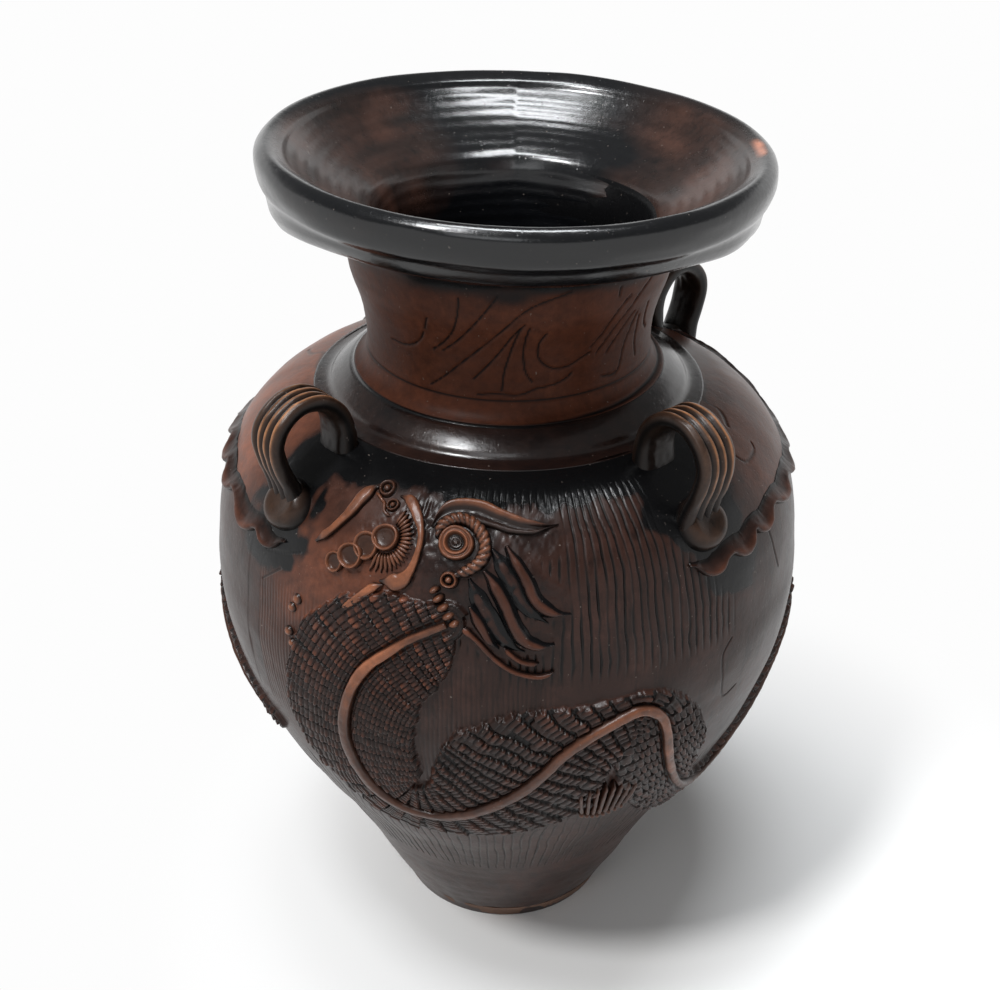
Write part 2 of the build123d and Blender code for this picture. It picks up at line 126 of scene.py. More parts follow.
def noise(x: Array, y: Array, seed: int = 0) -> Array:
    """Smooth scatter in -1..1: hashed corners of a unit grid, blended by smooth steps both ways.

    Args:
        x: Places along.
        y: Places across.
        seed: Picks the scatter.

    Returns:
        One value for each place.
    """
    i, j = np.floor(x), np.floor(y)
    u, v = x - i, y - j
    u, v = u * u * (3 - 2 * u), v * v * (3 - 2 * v)
    low = hashed(i, j, seed) * (1 - u) + hashed(i + 1, j, seed) * u
    high = hashed(i, j + 1, seed) * (1 - u) + hashed(i + 1, j + 1, seed) * u
    return low * (1 - v) + high * v


def smooth_rows(rows: list[Row] | Path | Array, steps: int) -> Array:
    """Rows of numbers with a smooth curve's rows put between them.

    Args:
        rows: The rows that the curve passes through.
        steps: Rows made for each run between two given rows.

    Returns:
        The rows of a Catmull-Rom curve: each run is a cubic whose end slopes are half the step between the neighbours.
    """
    p = np.asarray(rows, float)
    a, b, c, d = np.vstack([p[:1], p[:-2]]), p[:-1], p[1:], np.vstack([p[2:], p[-1:]])
    t = (np.arange(steps) / steps)[None, :, None]
    a, b, c, d = (q[:, None, :] for q in (a, b, c, d))
    bend = (2 * a - 5 * b + 4 * c - d) * t ** 2 + (3 * b - a - 3 * c + d) * t ** 3
    curve = (2 * b + (c - a) * t + bend) / 2
    return np.vstack([curve.reshape(-1, p.shape[1]), p[-1:]])


def evenly(rows: Array, spacing: float) -> Array:
    """Rows of a curve at even steps of its own length in its first two numbers.

    Args:
        rows: The curve; its first two numbers are a place.
        spacing: Length of a step.

    Returns:
        The rows at those steps.
    """
    steps = np.hypot(*np.diff(rows[:, :2], axis=0).T)
    run = np.concatenate([[0.0], np.cumsum(steps)])
    at = np.linspace(0.0, run[-1], max(3, int(run[-1] / spacing) + 1))
    return np.column_stack([np.interp(at, run, rows[:, k]) for k in range(rows.shape[1])])


# ---------------------------------------------------------------- the thrown shape

WALL_OUTLINE: list[Row] = [
    (80, 0), (83, 8), (88, 18), (96, 34), (105, 52), (116, 76), (127, 98), (141, 124), (157, 150), (172, 178),
    (184, 204), (193, 230), (200, 256), (204, 282), (205, 304), (203, 326), (200.5, 348), (196.5, 366), (189.5, 384),
    (180, 399), (167, 412), (151, 422.5), (132, 430),
]
COLLAR_OUTLINE: list[Row] = [(132, 430), (122.5, 431.5), (118, 436), (112, 441), (104, 446)]
NECK_OUTLINE: list[Row] = [
    (104, 446), (98, 451), (95, 459), (94.5, 470), (96, 485), (99, 498), (104, 513), (106.5, 526), (109, 538),
    (113, 546),
]
NECK_TOP = 546.0
WALL_THICKNESS = 11.0
FOOT_THICKER = 1.1
FOOT_RISE = 1.0
INNER_ROWS = 4
INNER_VALUES = (0.5, 0.0, 0.6)
LUG_AZIMUTHS = {"front_left": -50.0, "front_right": 40.0, "back_right": 134.0, "back_left": 212.0}


@dataclass
class Profile:
    """An outline turned round the jar's axis, known by its own length.

    Args:
        rows: Radius and height of each given point.
    """

    rows: list[Row]
    table: Array = field(init=False)
    length: Array = field(init=False)

    def __post_init__(self) -> None:
        """Tables of the outline at fine steps and of the length run to each."""
        self.table = smooth_rows(self.rows, OUTLINE_STEPS)
        self.length = np.concatenate([[0.0], np.cumsum(np.hypot(*np.diff(self.table, axis=0).T))])

    def at(self, run: Array) -> tuple[Array, Array, Array, Array]:
        """Radius, height and the two parts of the outward normal at a run along the outline.

        Args:
            run: Length along the outline.

        Returns:
            Radius, height, radial part and upward part. The normal is the slope turned by a quarter.
        """
        radius = np.interp(run, self.length, self.table[:, 0])
        height = np.interp(run, self.length, self.table[:, 1])
        before, after = run - SLOPE_REACH, run + SLOPE_REACH
        dr, dz = (np.interp(after, self.length, line) - np.interp(before, self.length, line) for line in self.table.T)
        size = np.hypot(dr, dz)
        return radius, height, dz / size, -dr / size

    def run_at(self, height: Array) -> Array:
        """Run along the outline at a height."""
        return np.interp(height, self.table[:, 1], self.length)

    def run_of(self, height: float) -> float:
        """Run along the outline at one height."""
        return float(self.run_at(np.array(height)))


WALL = Profile(WALL_OUTLINE)


def placed(profile: Profile, azimuth: Array, run: Array, lift: Array) -> Array:
    """Points that stand off a turned outline.

    Args:
        profile: The outline.
        azimuth: Degrees.
        run: Length along the outline.
        lift: Distance out along the normal.

    Returns:
        Points x = r sin a, y = -r cos a, z, with r and z moved along the normal by the lift.
    """
    radius, height, out, up = profile.at(run)
    turn = np.radians(azimuth)
    r = radius + out * lift
    return np.stack([r * np.sin(turn), -r * np.cos(turn), height + up * lift], -1)


# ---------------------------------------------------------------- meshes

@dataclass
class Shell:
    """Points on a grid with the values that the glaze reads.

    Args:
        points: Rows by columns by three.
        crest: How high in the fine relief a point is, 0 in a groove to 1 on a ridge; low crests get the glaze's dark
            groove colour, partly painted shade.
        wear: How far the glaze is rubbed through to the clay; in a few places partly painted light on lit tops.
        pool: How far thick dark glaze has gathered; in a few places its darkness is partly painted shade, and its lack
            partly painted sheen.
        ring: Not used; the columns always close into a ring.
        loop: The rows close into a loop. A shell that is no loop has its two ends closed to a point.
        normals: Directions for the light, where a surface goes on in the next piece.
    """

    points: Array
    crest: Array | float = 0.5
    wear: Array | float = 0.0
    pool: Array | float = 0.0
    ring: bool = True
    loop: bool = False
    normals: Array | None = None

    def turned(self) -> "Shell":
        """The same shell after half a turn about the jar's axis."""
        return Shell(self.points * np.array([-1.0, -1.0, 1.0]), self.crest, self.wear, self.pool, self.ring, self.loop)


def mesh_parts(shell: Shell) -> tuple[Array, Array, Array, Array]:
    """Points, four-sided faces, three-sided faces and glaze values of one shell.

    Args:
        shell: The points and how their rows and columns close.

    Returns:
        Each face joins a point, its neighbour along the row, and the two above them. An open end gets its mean point.
    """
    rows, columns = shell.points.shape[:2]
    index = np.arange(rows * columns).reshape(rows, columns)
    right = np.roll(index, -1, 1)
    low, low_right = index[:-1], right[:-1]
    high, high_right = index[1:], right[1:]
    if shell.loop:
        low, low_right = index, right
        high, high_right = np.roll(index, -1, 0), np.roll(right, -1, 0)
    quads = np.stack([low, low_right, high_right, high], -1).reshape(-1, 4)
    flat = shell.points.reshape(-1, 3)
    size = (rows, columns)
    values = np.stack([np.broadcast_to(v, size).ravel() for v in (shell.crest, shell.wear, shell.pool)], -1)
    if shell.loop:
        return flat, quads, np.zeros((0, 3), int), values
    first, last = len(flat), len(flat) + 1
    ends = np.vstack([shell.points[0].mean(0), shell.points[-1].mean(0)])
    end_values = np.vstack([values[:columns].mean(0), values[-columns:].mean(0)])
    bottom = np.stack([np.full(columns, first), right[0], index[0]], -1)
    top = np.stack([np.full(columns, last), index[-1], right[-1]], -1)
    return np.vstack([flat, ends]), quads, np.vstack([bottom, top]), np.vstack([values, end_values])


def volume_of(points: Array, quads: Array, triangles: Array) -> float:
    """Volume inside a closed mesh: a sixth of the sum of each face corner triple's box product.

    Args:
        points: Places.
        quads: Four-sided faces.
        triangles: Three-sided faces.

    Returns:
        The volume, below zero when the faces point inwards.
    """
    halves = np.vstack([quads[:, [0, 1, 2]], quads[:, [0, 2, 3]], triangles])
    a, b, c = (points[halves[:, k]] for k in range(3))
    return float(np.einsum("ij,ij->i", a, np.cross(b, c)).sum() / 6)


def build_piece(name: str, shells: list[Shell], material: Material, nodes: list[str]) -> None:
    """Makes one piece from shells, with its faces pointing out of each, dresses it and ties it to the jar.

    Args:
        name: The piece's name.
        shells: Closed shells, in millimetres.
        material: Its glaze.
        nodes: The solids that it stands for.
    """
    points, quads, triangles, values = [], [], [], []
    start = 0
    for shell in shells:
        p, q, t, v = mesh_parts(shell)
        if volume_of(p, q, t) < 0:
            q, t = q[:, ::-1], t[:, ::-1]
        points.append(p)
        quads.append(q + start)
        triangles.append(t + start)
        values.append(v)
        start += len(p)
    places = np.vstack(points) * MILLIMETRE
    fours, threes = np.vstack(quads), np.vstack(triangles)
    mesh = bpy.data.meshes.new(name)
    mesh.vertices.add(len(places))
    mesh.vertices.foreach_set("co", places.astype(np.float32).ravel())
    corners = np.concatenate([fours.ravel(), threes.ravel()]).astype(np.int32)
    sizes = np.concatenate([np.full(len(fours), 4), np.full(len(threes), 3)])
    mesh.loops.add(len(corners))
    mesh.loops.foreach_set("vertex_index", corners)
    mesh.polygons.add(len(sizes))
    mesh.polygons.foreach_set("loop_start", np.concatenate([[0], np.cumsum(sizes)[:-1]]).astype(np.int32))
    mesh.polygons.foreach_set("use_smooth", np.ones(len(sizes), bool))
    mesh.update(calc_edges=True)
    mesh.validate()
    table = np.vstack(values).astype(np.float32)
    for k, label in enumerate(GLAZE_VALUES):
        mesh.attributes.new(label, "FLOAT", "POINT").data.foreach_set("value", np.ascontiguousarray(table[:, k]))
    if shells[0].normals is not None:
        mesh.normals_split_custom_set_from_vertices(np.vstack([shell.normals.reshape(-1, 3) for shell in shells]))
    mesh.materials.append(material)
    piece = bpy.data.objects.new(name, mesh)
    bpy.context.collection.objects.link(piece)
    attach(piece, "root")
    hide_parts(*nodes)
    LOG.info("%s: %d faces for %s", name, len(sizes), ", ".join(nodes))


# ---------------------------------------------------------------- finishes

def add_node(tree: Tree, kind: str, inputs: dict | None = None, **settings: object) -> bpy.types.Node:
    """Adds a node with its settings and links.

    Args:
        tree: The material's node tree.
        kind: The node's type name.
        inputs: For each input by name or number, a plain value or another node's output to link.
        settings: The node's own properties.

    Returns:
        The node.
    """
    made = tree.nodes.new(kind)
    for key, value in settings.items():
        setattr(made, key, value)
    for key, value in (inputs or {}).items():
        if isinstance(value, Socket):
            tree.links.new(value, made.inputs[key])
        else:
            made.inputs[key].default_value = value
    return made


def blank_material(name: str) -> tuple[Material, Tree]:
    """A material with an empty node tree.

    Args:
        name: The material's name.

    Returns:
        The material and its tree.
    """
    material = bpy.data.materials.new(name)
    material.use_nodes = True
    material.node_tree.nodes.clear()
    return material, material.node_tree


def per_metre(size: float) -> float:
    """Scale of a pattern whose cells are this many millimetres wide, on coordinates in metres."""
    return 1.0 / (size * MILLIMETRE)


def remap(
    tree: Tree, value: Socket, start: float = 0.0, full: float = 1.0, low: float = 0.0, high: float = 1.0,
    **settings: object
) -> Socket:
    """A value carried from start..full to low..high and held at the ends."""
    inputs = {"Value": value, "From Min": start, "From Max": full, "To Min": low, "To Max": high}
    return add_node(tree, "ShaderNodeMapRange", inputs, **settings).outputs["Result"]


def reckon(tree: Tree, operation: str, *values: Socket | float, **settings: object) -> Socket:
    """The outcome of one sum on up to three values."""
    return add_node(tree, "ShaderNodeMath", dict(enumerate(values)), operation=operation, **settings).outputs[0]


def blend(tree: Tree, share: Socket, low: Socket | str, high: Socket | str) -> Socket:
    """A colour between two, each a hex colour or another node's output. A mix node takes colours at 6 and 7."""
    low, high = (linear(colour) if isinstance(colour, str) else colour for colour in (low, high))
    return add_node(tree, "ShaderNodeMix", {0: share, 6: low, 7: high}, data_type="RGBA").outputs[2]


def surface(tree: Tree, shader: Socket) -> None:
    """Makes a shader the look of the material."""
    add_node(tree, "ShaderNodeOutputMaterial", {"Surface": shader})


class Grain(Enum):
    """Noise in a surface: width of its cells in millimetres, detail and roughness."""

    PATCH = (46.0, 5.0, 0.6)
    MOTTLE = (7.0, 6.0, 0.65)
    FINE = (1.1, 3.0, 0.7)
    STREAK = (9.0, 5.0, 0.7)
    SPECK = (2.2, 1.0, 0.5)
    CLAY = (30.0, 5.0, 0.5)
    SAND = (0.9, 4.0, 0.5)

    def add(self, tree: Tree, place: Socket) -> Socket:
        """Adds the noise and gives its strength.

        Args:
            tree: The material's tree.
            place: Coordinates.

        Returns:
            The noise's strength.
        """
        size, detail, roughness = self.value
        inputs = {"Vector": place, "Scale": per_metre(size), "Detail": detail, "Roughness": roughness}
        return add_node(tree, "ShaderNodeTexNoise", inputs).outputs["Fac"]


class Mask(Enum):
    """Part of a value that a mask uses: where it starts, where it is full, and how strong it gets."""

    RAISED = (0.15, 0.75, 1.0)
    PALER = (0.42, 0.68, 1.0)
    SPECKLED = (0.35, 0.7, 1.0)
    STREAKED = (0.5, 0.72, 0.75)
    POOLED = (0.5, 0.95, 1.0)
    DUSTY = (0.76, 0.8, 0.4)
    PITTED = (0.04, 0.16, 1.0)

    def add(self, tree: Tree, value: Socket) -> Socket:
        """Adds the mask of a value."""
        start, full, most = self.value
        return remap(tree, value, start, full, high=most)


class Bump(Enum):
    """Bumps in a surface: strength, and depth in millimetres."""

    FINE = (0.35, 0.12)
    WAVES = (0.5, 0.5)
    HOLES = (0.35, 0.3)
    SAND = (0.6, 0.25)

    def add(self, tree: Tree, height: Socket, under: Socket | None = None) -> Socket:
        """Adds the bumps on top of other ones and gives the direction that the surface faces.

        Args:
            tree: The material's tree.
            height: Height of the bumps, 0 to 1.
            under: Direction that coarser bumps give.

        Returns:
            The direction.
        """
        strength, depth = self.value
        inputs = {"Height": height, "Strength": strength, "Distance": depth * MILLIMETRE}
        if under is not None:
            inputs["Normal"] = under
        return add_node(tree, "ShaderNodeBump", inputs).outputs[0]


class Sheen(Enum):
    """How a glaze came out of the kiln: roughness where thin and where pooled, strength of its coat, specular level."""

    GLASSY = (0.22, 0.12, 0.3, 0.4)
    SATIN = (0.27, 0.15, 0.05, 0.2)
    RUBBED = (0.26, 0.16, 0.1, 0.26)
    DULL = (0.38, 0.2, 0.0, 0.12)


@dataclass(frozen=True)
class IronGlaze:
    """Iron-brown glaze on stoneware: dark in the grooves, partly pooled glaze and partly painted shade, glassy black
    where it pooled, rubbed orange on edges.

    Args:
        name: The material's name.
        groove: Colour in the grooves, partly pooled glaze and partly painted shade.
        land: Colour on the level clay.
        light: Colour of paler patches of the land.
        rubbed: Colour where the glaze is worn thin.
        pooled: Colour of the thick glaze.
        sheen: How it came out of the kiln.
        dust: Colour of specks of dust.
        pit: Distance between pits, in millimetres.
        flow: How far the streaks are drawn out downward, as a share of their pattern's scale.
        worn: Growth of the rub with the mottles, and its least share.
        spread: How far wide patches help the thick glaze.
        uneven: Change of roughness with the mottles.
        glass: Refraction of the glaze and its coat.
        coat: Roughness of the coat.
    """

    name: str
    groove: str
    land: str
    light: str
    rubbed: str
    pooled: str
    sheen: Sheen
    dust: str = "#8b8078"
    pit: float = 5.0
    flow: float = 0.22
    worn: tuple[float, float] = (0.55, 0.62)
    spread: float = 0.5
    uneven: float = 0.16
    glass: float = 1.5
    coat: float = 0.14

    def colour(self, tree: Tree, place: Socket, patches: Socket, speckled: Socket) -> tuple[Socket, Socket]:
        """Colour of the glaze, and the mask of the thick glaze.

        Args:
            tree: The material's tree.
            place: Coordinates in metres.
            patches: Strength of the wide patches.
            speckled: Strength of the speckles.

        Returns:
            Colour goes from groove to land by the crest, which darkens the low relief as partly pooled glaze and partly
            painted shade, to the paler patch by two noises, to the rubbed clay by the wear and to the thick glaze by
            the pool; streaks run down it and dust lies on it.
        """
        crest, wear, pool = (
            add_node(tree, "ShaderNodeAttribute", attribute_name=label).outputs["Fac"] for label in GLAZE_VALUES
        )
        paler = reckon(tree, "MULTIPLY", Mask.PALER.add(tree, patches), speckled)
        falling = add_node(tree, "ShaderNodeMapping", {"Vector": place, "Scale": (1.0, 1.0, self.flow)}).outputs[0]
        streaked = Mask.STREAKED.add(tree, Grain.STREAK.add(tree, falling))
        land = blend(tree, streaked, blend(tree, paler, self.land, self.light), self.groove)
        # Painted shade with pooled glaze: low points of the relief take the dark groove colour.
        ground = blend(tree, Mask.RAISED.add(tree, crest), self.groove, land)
        rubbing = reckon(tree, "MULTIPLY", wear, reckon(tree, "MULTIPLY_ADD", speckled, *self.worn), use_clamp=True)
        pooling = Mask.POOLED.add(tree, reckon(tree, "MULTIPLY_ADD", patches, self.spread, pool))
        colour = blend(tree, pooling, blend(tree, rubbing, ground, self.rubbed), self.pooled)
        dusty = Mask.DUSTY.add(tree, Grain.SPECK.add(tree, place))
        return blend(tree, dusty, colour, self.dust), pooling

    def build(self) -> Material:
        """Node tree of the glaze: its colour, a roughness that follows the pool, and grain, waves and pits as bumps.

        Returns:
            The material.
        """
        material, tree = blank_material(self.name)
        place = add_node(tree, "ShaderNodeTexCoord").outputs["Object"]
        patches, mottles = Grain.PATCH.add(tree, place), Grain.MOTTLE.add(tree, place)
        colour, pooling = self.colour(tree, place, patches, Mask.SPECKLED.add(tree, mottles))
        dull, shiny, coat, level = self.sheen.value
        gloss = remap(tree, pooling, low=dull, high=shiny)
        inputs = {"Vector": place, "Scale": per_metre(self.pit), "Randomness": 1.0}
        pits = add_node(tree, "ShaderNodeTexVoronoi", inputs).outputs["Distance"]
        bumps = Bump.FINE.add(tree, Grain.FINE.add(tree, place))
        bumps = Bump.WAVES.add(tree, mottles, bumps)
        bumps = Bump.HOLES.add(tree, Mask.PITTED.add(tree, pits), bumps)
        shader = add_node(tree, "ShaderNodeBsdfPrincipled", {
            "Base Color": colour, "Roughness": reckon(tree, "MULTIPLY_ADD", mottles, self.uneven, gloss),
            "IOR": self.glass, "Specular IOR Level": level, "Coat Weight": coat, "Coat Roughness": self.coat,
            "Coat IOR": self.glass, "Normal": bumps,
        })
        surface(tree, shader.outputs[0])
        return material


@dataclass(frozen=True)
class BareStoneware:
    """Unglazed fired clay under the foot: matte, sandy and a little scorched."""

    name: str = "bare_stoneware_sandy"
    clay: str = "#8a6a58"
    scorched: str = "#4b3930"
    roughness: float = 0.85

    def build(self) -> Material:
        """Node tree: two clay colours by a wide noise, and a sandy bump.

        Returns:
            The material.
        """
        material, tree = blank_material(self.name)
        place = add_node(tree, "ShaderNodeTexCoord").outputs["Object"]
        colour = blend(tree, Grain.CLAY.add(tree, place), self.scorched, self.clay)
        bump = Bump.SAND.add(tree, Grain.SAND.add(tree, place))
        inputs = {"Base Color": colour, "Roughness": self.roughness, "Normal": bump}
        surface(tree, add_node(tree, "ShaderNodeBsdfPrincipled", inputs).outputs[0])
        return material


BODY_GLAZE = IronGlaze("iron_brown_glaze_dipped", "#0b0706", "#301d17", "#4c3129", "#96563a", "#0d0d0e", Sheen.SATIN)
BLACK_GLAZE = IronGlaze(
    "brown_black_glaze_glassy", "#090706", "#2a1b16", "#402a22", "#b0745c", "#0b0c0e", Sheen.GLASSY,
)
NECK_GLAZE = IronGlaze("iron_brown_glaze_thin", "#0a0504", "#2b1811", "#42281d", "#8a4a2e", "#0c0c0d", Sheen.DULL)
LUG_GLAZE = IronGlaze("iron_brown_glaze_handled", "#0a0706", "#35261e", "#553f32", "#b07a54", "#0e0e0f", Sheen.SATIN)
WORN_GLAZE = IronGlaze("iron_brown_glaze_rubbed", "#0d0806", "#35211a", "#52362a", "#a06242", "#100f0f", Sheen.RUBBED)


# ---------------------------------------------------------------- the dragon's body on the wall

# Back ridge: azimuth, height, and how far the stamped clay reaches below and above it
RIDGE_PATH: list[Row] = [
    (-10.5, 361.8, 8, 9), (-13, 357, 22, 15), (-17, 348.7, 30, 28), (-20.5, 338, 33, 37), (-24, 326, 38, 42),
    (-26.8, 310, 40, 46), (-28.8, 290, 42, 46), (-29.9, 270, 44, 45), (-29.9, 250, 44, 42), (-28.9, 231, 43, 37),
    (-27, 215, 40, 32), (-23.5, 203, 30, 30), (-19, 197.5, 27, 30), (-14, 197.5, 30, 31), (-9.5, 202, 34, 35),
    (-5, 211, 44, 42), (-0.5, 223, 55, 48), (3.5, 237, 60, 52), (7, 254, 58, 51), (10, 269, 44, 50), (14, 281, 25, 50),
    (18.5, 290, 13, 50), (22.5, 295, 8.5, 50), (25.5, 292, 10, 49), (28, 283, 15, 43), (29.6, 268, 22, 35),
    (31, 250, 27, 33), (33, 231, 27, 33), (36, 211, 17, 31), (39.5, 195, 8, 29), (44, 181, 4, 26), (49.5, 173, 3.5, 24),
    (56, 173, 3.5, 24), (62, 181, 4, 26), (67, 197, 5, 28), (71.5, 217, 6, 28), (75.5, 237, 8, 25), (80, 255, 10, 22),
    (86, 265, 11, 20), (92.5, 266, 11, 18), (99, 257, 10, 16), (105, 244, 10, 14), (111, 231, 9, 11), (118, 221, 7, 8),
    (125, 218, 4, 4.5),
]
RIDGE_WIDTH = 7.5
RIDGE_LIFT = 7.0
BAND_LIFT = 4.0
# Stamped rows: run along the ridge, rows counted up to there, and width of a tooth
STAMP_ROWS: list[Row] = [
    (0, 0, 3.0), (120, 18.5, 3.0), (170, 25, 3.3), (260, 34.5, 3.9), (330, 41.5, 4.4), (430, 52, 4.6), (500, 60, 4.4),
    (560, 68.5, 4.0), (700, 89, 4.0), (1200, 163, 4.0),
]
SCALE_DEPTH = 3.5
FRONT_START = -52.0

# Places as azimuth and height: the smooth dark ground behind the horn and the mane
HEAD_GROUND: Paths = (
    ((-15, 414), (-10, 411), (-3, 408), (4, 407), (8, 408)),
    ((-14, 398), (-6, 398), (0, 396), (3, 390), (5, 382), (8, 376)),
    ((-10, 384), (-6, 378), (-3, 370), (-1, 362), (2, 356), (5, 354)),
    ((-9, 372), (-7, 364), (-4, 356), (0, 350)),
    ((-18, 414), (-16, 404), (-15, 394), (-14, 386)),
)
# The modelled ground between the jaws
SNOUT_GROUND: Paths = (
    ((-19, 408), (-22, 402), (-26, 396), (-30, 388), (-33, 381)), ((-20, 396), (-22, 388), (-25, 380)),
)
# Freehand lines cut in the shoulder and the side
SHOULDER_CUTS: Paths = (
    ((86.2, 430.1), (75.5, 429.4), (73.8, 425.4), (69, 421.4)),
    ((61.2, 412.8), (63.2, 407.5), (68.8, 407.5), (70.5, 410.1)),
    ((59.2, 369.5), (61, 347.6), (62, 338.3)),
    ((-51, 347), (-45.8, 362)),
    ((44.5, 317), (42.2, 308), (42.6, 290), (44.2, 270), (48, 272)),
    ((-51, 368), (-46, 372), (-41.5, 378)),
)
# Edges of the dark glaze round the front lugs: heights, and the azimuths there
GLAZE_EDGE_HEIGHTS = (346, 358, 379, 393, 408, 424)
GLAZE_EDGE_RIGHT = (41.8, 38, 35.2, 30.5, 27.5, 28.2)
GLAZE_EDGE_LEFT = (-48, -45, -40.5, -38.8, -39.8, -43)


class Scatter(Enum):
    """Unevenness of hand work: its amount, the widths of its cells both ways, and its seed."""

    BAND_EDGE = (1.3, 7.0, 1.0, 3)
    BAND_NICKS = (0.8, 2.4, 1.0, 4)
    ROW_WANDER = (1.0, 15.0, 9.0, 8)
    ROW_SHAKE = (1.0, 4.0, 3.0, 9)
    ROW_SHIFT = (1.0, 1.0, 8.0, 11)
    COMB_WANDER = (0.35, 7.0, 30.0, 21)
    COMB_SHAKE = (0.12, 2.0, 9.0, 22)
    COMB_PRESS = (0.35, 1.0, 22.0, 23)
    RUN_WIDE = (2.5, 4.0, 14.0, 31)
    RUN_FINE = (1.2, 1.4, 5.0, 32)
    HEAD_GLAZE = (0.2, 4.0, 12.0, 33)
    BODY_WIDE = (0.5, 24.0, 55.0, 41)
    BODY_FINE = (0.3, 6.0, 16.0, 42)
    RING_WAVER = (1.5, 30.0, 20.0, 43)
    MODELLED_WIDE = (0.5, 1.5, 3.8, 44)
    WORN = (0.35, 7.0, 20.0, 45)
    MODELLED_FINE = (0.35, 0.7, 1.9, 46)
    STRIP_WIDE = (0.1, 9.0, 1.0, 51)
    STRIP_ROUGH = (0.2, 3.0, 2.0, 52)
    STRIP_WAVES = (0.15, 7.0, 5.0, 53)
    STRIP_RUB = (0.45, 11.0, 3.0, 54)
    STRIP_FINE = (0.05, 3.5, 1.0, 55)
    NECK = (0.4, 30.0, 16.0, 61)
    NECK_RING = (0.4, 25.0, 1.0, 62)
    NECK_GLAZE = (6.0, 14.0, 9.0, 63)
    MOUTH = (0.3, 18.0, 12.0, 71)
    MOUTH_RINGS = (2.5, 40.0, 30.0, 72)
    MOUTH_OUTSIDE = (0.35, 11.0, 6.0, 73)
    MOUTH_CREST = (0.3, 20.0, 9.0, 74)
    MOUTH_RUB = (1.0, 12.0, 26.0, 75)
    MOUTH_GLAZE = (0.2, 35.0, 25.0, 76)
    LUG_WIDTH = (0.03, 1.0, 1.0, 81)
    LUG_THICKNESS = (0.06, 1.0, 9.0, 82)
    LUG_RUB = (1.0, 1.0, 6.0, 83)
    LUG_ROUGH = (0.3, 1.0, 3.0, 84)
    FRILL = (0.25, 40.0, 1.0, 91)

    def at(self, x: Array, y: Array | float) -> Array:
        """The scatter at each place."""
        amount, wide, high, seed = self.value
        return amount * noise(x / wide, y / high, seed)


class Zone(Enum):
    """Where something comes in along a measure: where it starts and where it is full."""

    BAND_EDGE = (-1.2, 1.6)
    LOOSE_ROWS = (220, 320)
    WIDER_TEETH = (18, 40)
    SCALE_DROP = (-0.07, 0.06)
    SLIT_CLOSES = (0.05, 0.25)
    COMB_LEFT_LOW = (332, 352)
    COMB_LEFT_HIGH = (414, 421)
    COMB_BOTTOM = (316, 332)
    COMB_LEFT = (-3, 3)
    COMB_RIGHT = (-1, 5)
    COMB_HEAD = (9, 14)
    COMB_TOP = (420, 426)
    FOOT_COMB_TOP = (196, 214)
    FOOT_COMB_BOTTOM = (93, 98)
    CUT = (0.3, 1.1)
    GLAZED_FRONT = (48, 60)
    GLAZED_TOP = (415, 424)
    GLAZE_RIGHT_EDGE = (0, 5)
    GLAZE_RIGHT_END = (49, 58)
    GLAZE_LEFT_EDGE = (0, 4)
    GLAZE_LEFT_END = (-63, -54)
    GLAZE_RIGHT_LOW = (338, 352)
    GLAZE_LEFT_LOW = (346, 366)
    GLAZE_BACK = (30, 52)
    HEAD_GLAZE = (2, 18)
    WORN_LEFT = (-66, -52)
    WORN_LEFT_LOW = (366, 402)
    WORN_RIGHT = (56, 68)
    WORN_RIGHT_LOW = (362, 395)
    WORN_SIDE = (180, 330)
    MODELLED_SNOUT = (9, 16)
    MODELLED_HEAD = (6, 20)
    FOOT_RINGS = (85, 95)
    WALL_FOOT = (0, 6)
    WALL_TOP = (421, 428)
    RUBBED_SCALES = (0.6, 0.95)
    RUBBED_NECK = (285, 350)
    RUBBED_BEND = (268, 330)
    RUBBED_BACK_BEND = (190, 250)
    STRIP_TOP = (0.45, 1.0)
    STRIP_FLANK = (0.04, 0.3)
    ROUND_INNER = (0.4, 0.52)
    RING_RISES = (0, 75)
    RING_SINKS = (90, 170)
    STROKE = (0.25, 1.0)
    NECK_GLAZED = (520, 548)
    MOUTH_INSIDE = (0.3, 0.36)
    MOUTH_START = (0, 4)
    MOUTH_END = (0.72, 0.78)
    MOUTH_SHEEN_SIDES = (0.35, 0.9)
    MOUTH_THROAT = (0.66, 0.74)
    MOUTH_RUB = (-0.3, 0.6)
    UNDERSIDE = (116, 128)
    UNDER_LIP = (566, 572)
    SAG_SIDES = (36, 72)
    DRIP_EDGE = (140, 152)
    CHIP_INNER = (149, 151)
    CHIP_OUTER = (154, 156.5)
    CHIP_TOP = (589, 592)
    STRAP_TOP = (0.0, 0.22)
    STRAP_THICK_TOP = (0.0, 0.3)
    STRAP_FOOT = (0.8, 1.0)
    STRAP_THICK_FOOT = (0.78, 1.0)
    RIB_TOP = (0.84, 1.0)
    RIB_RUB = (-0.7, 0.4)

    def on(self, x: Array) -> Array:
        """Nothing before the start, one past the full place."""
        return ramp(*self.value, x)

    def off(self, x: Array) -> Array:
        """One before the start, nothing past the full place."""
        return fall(*self.value, x)


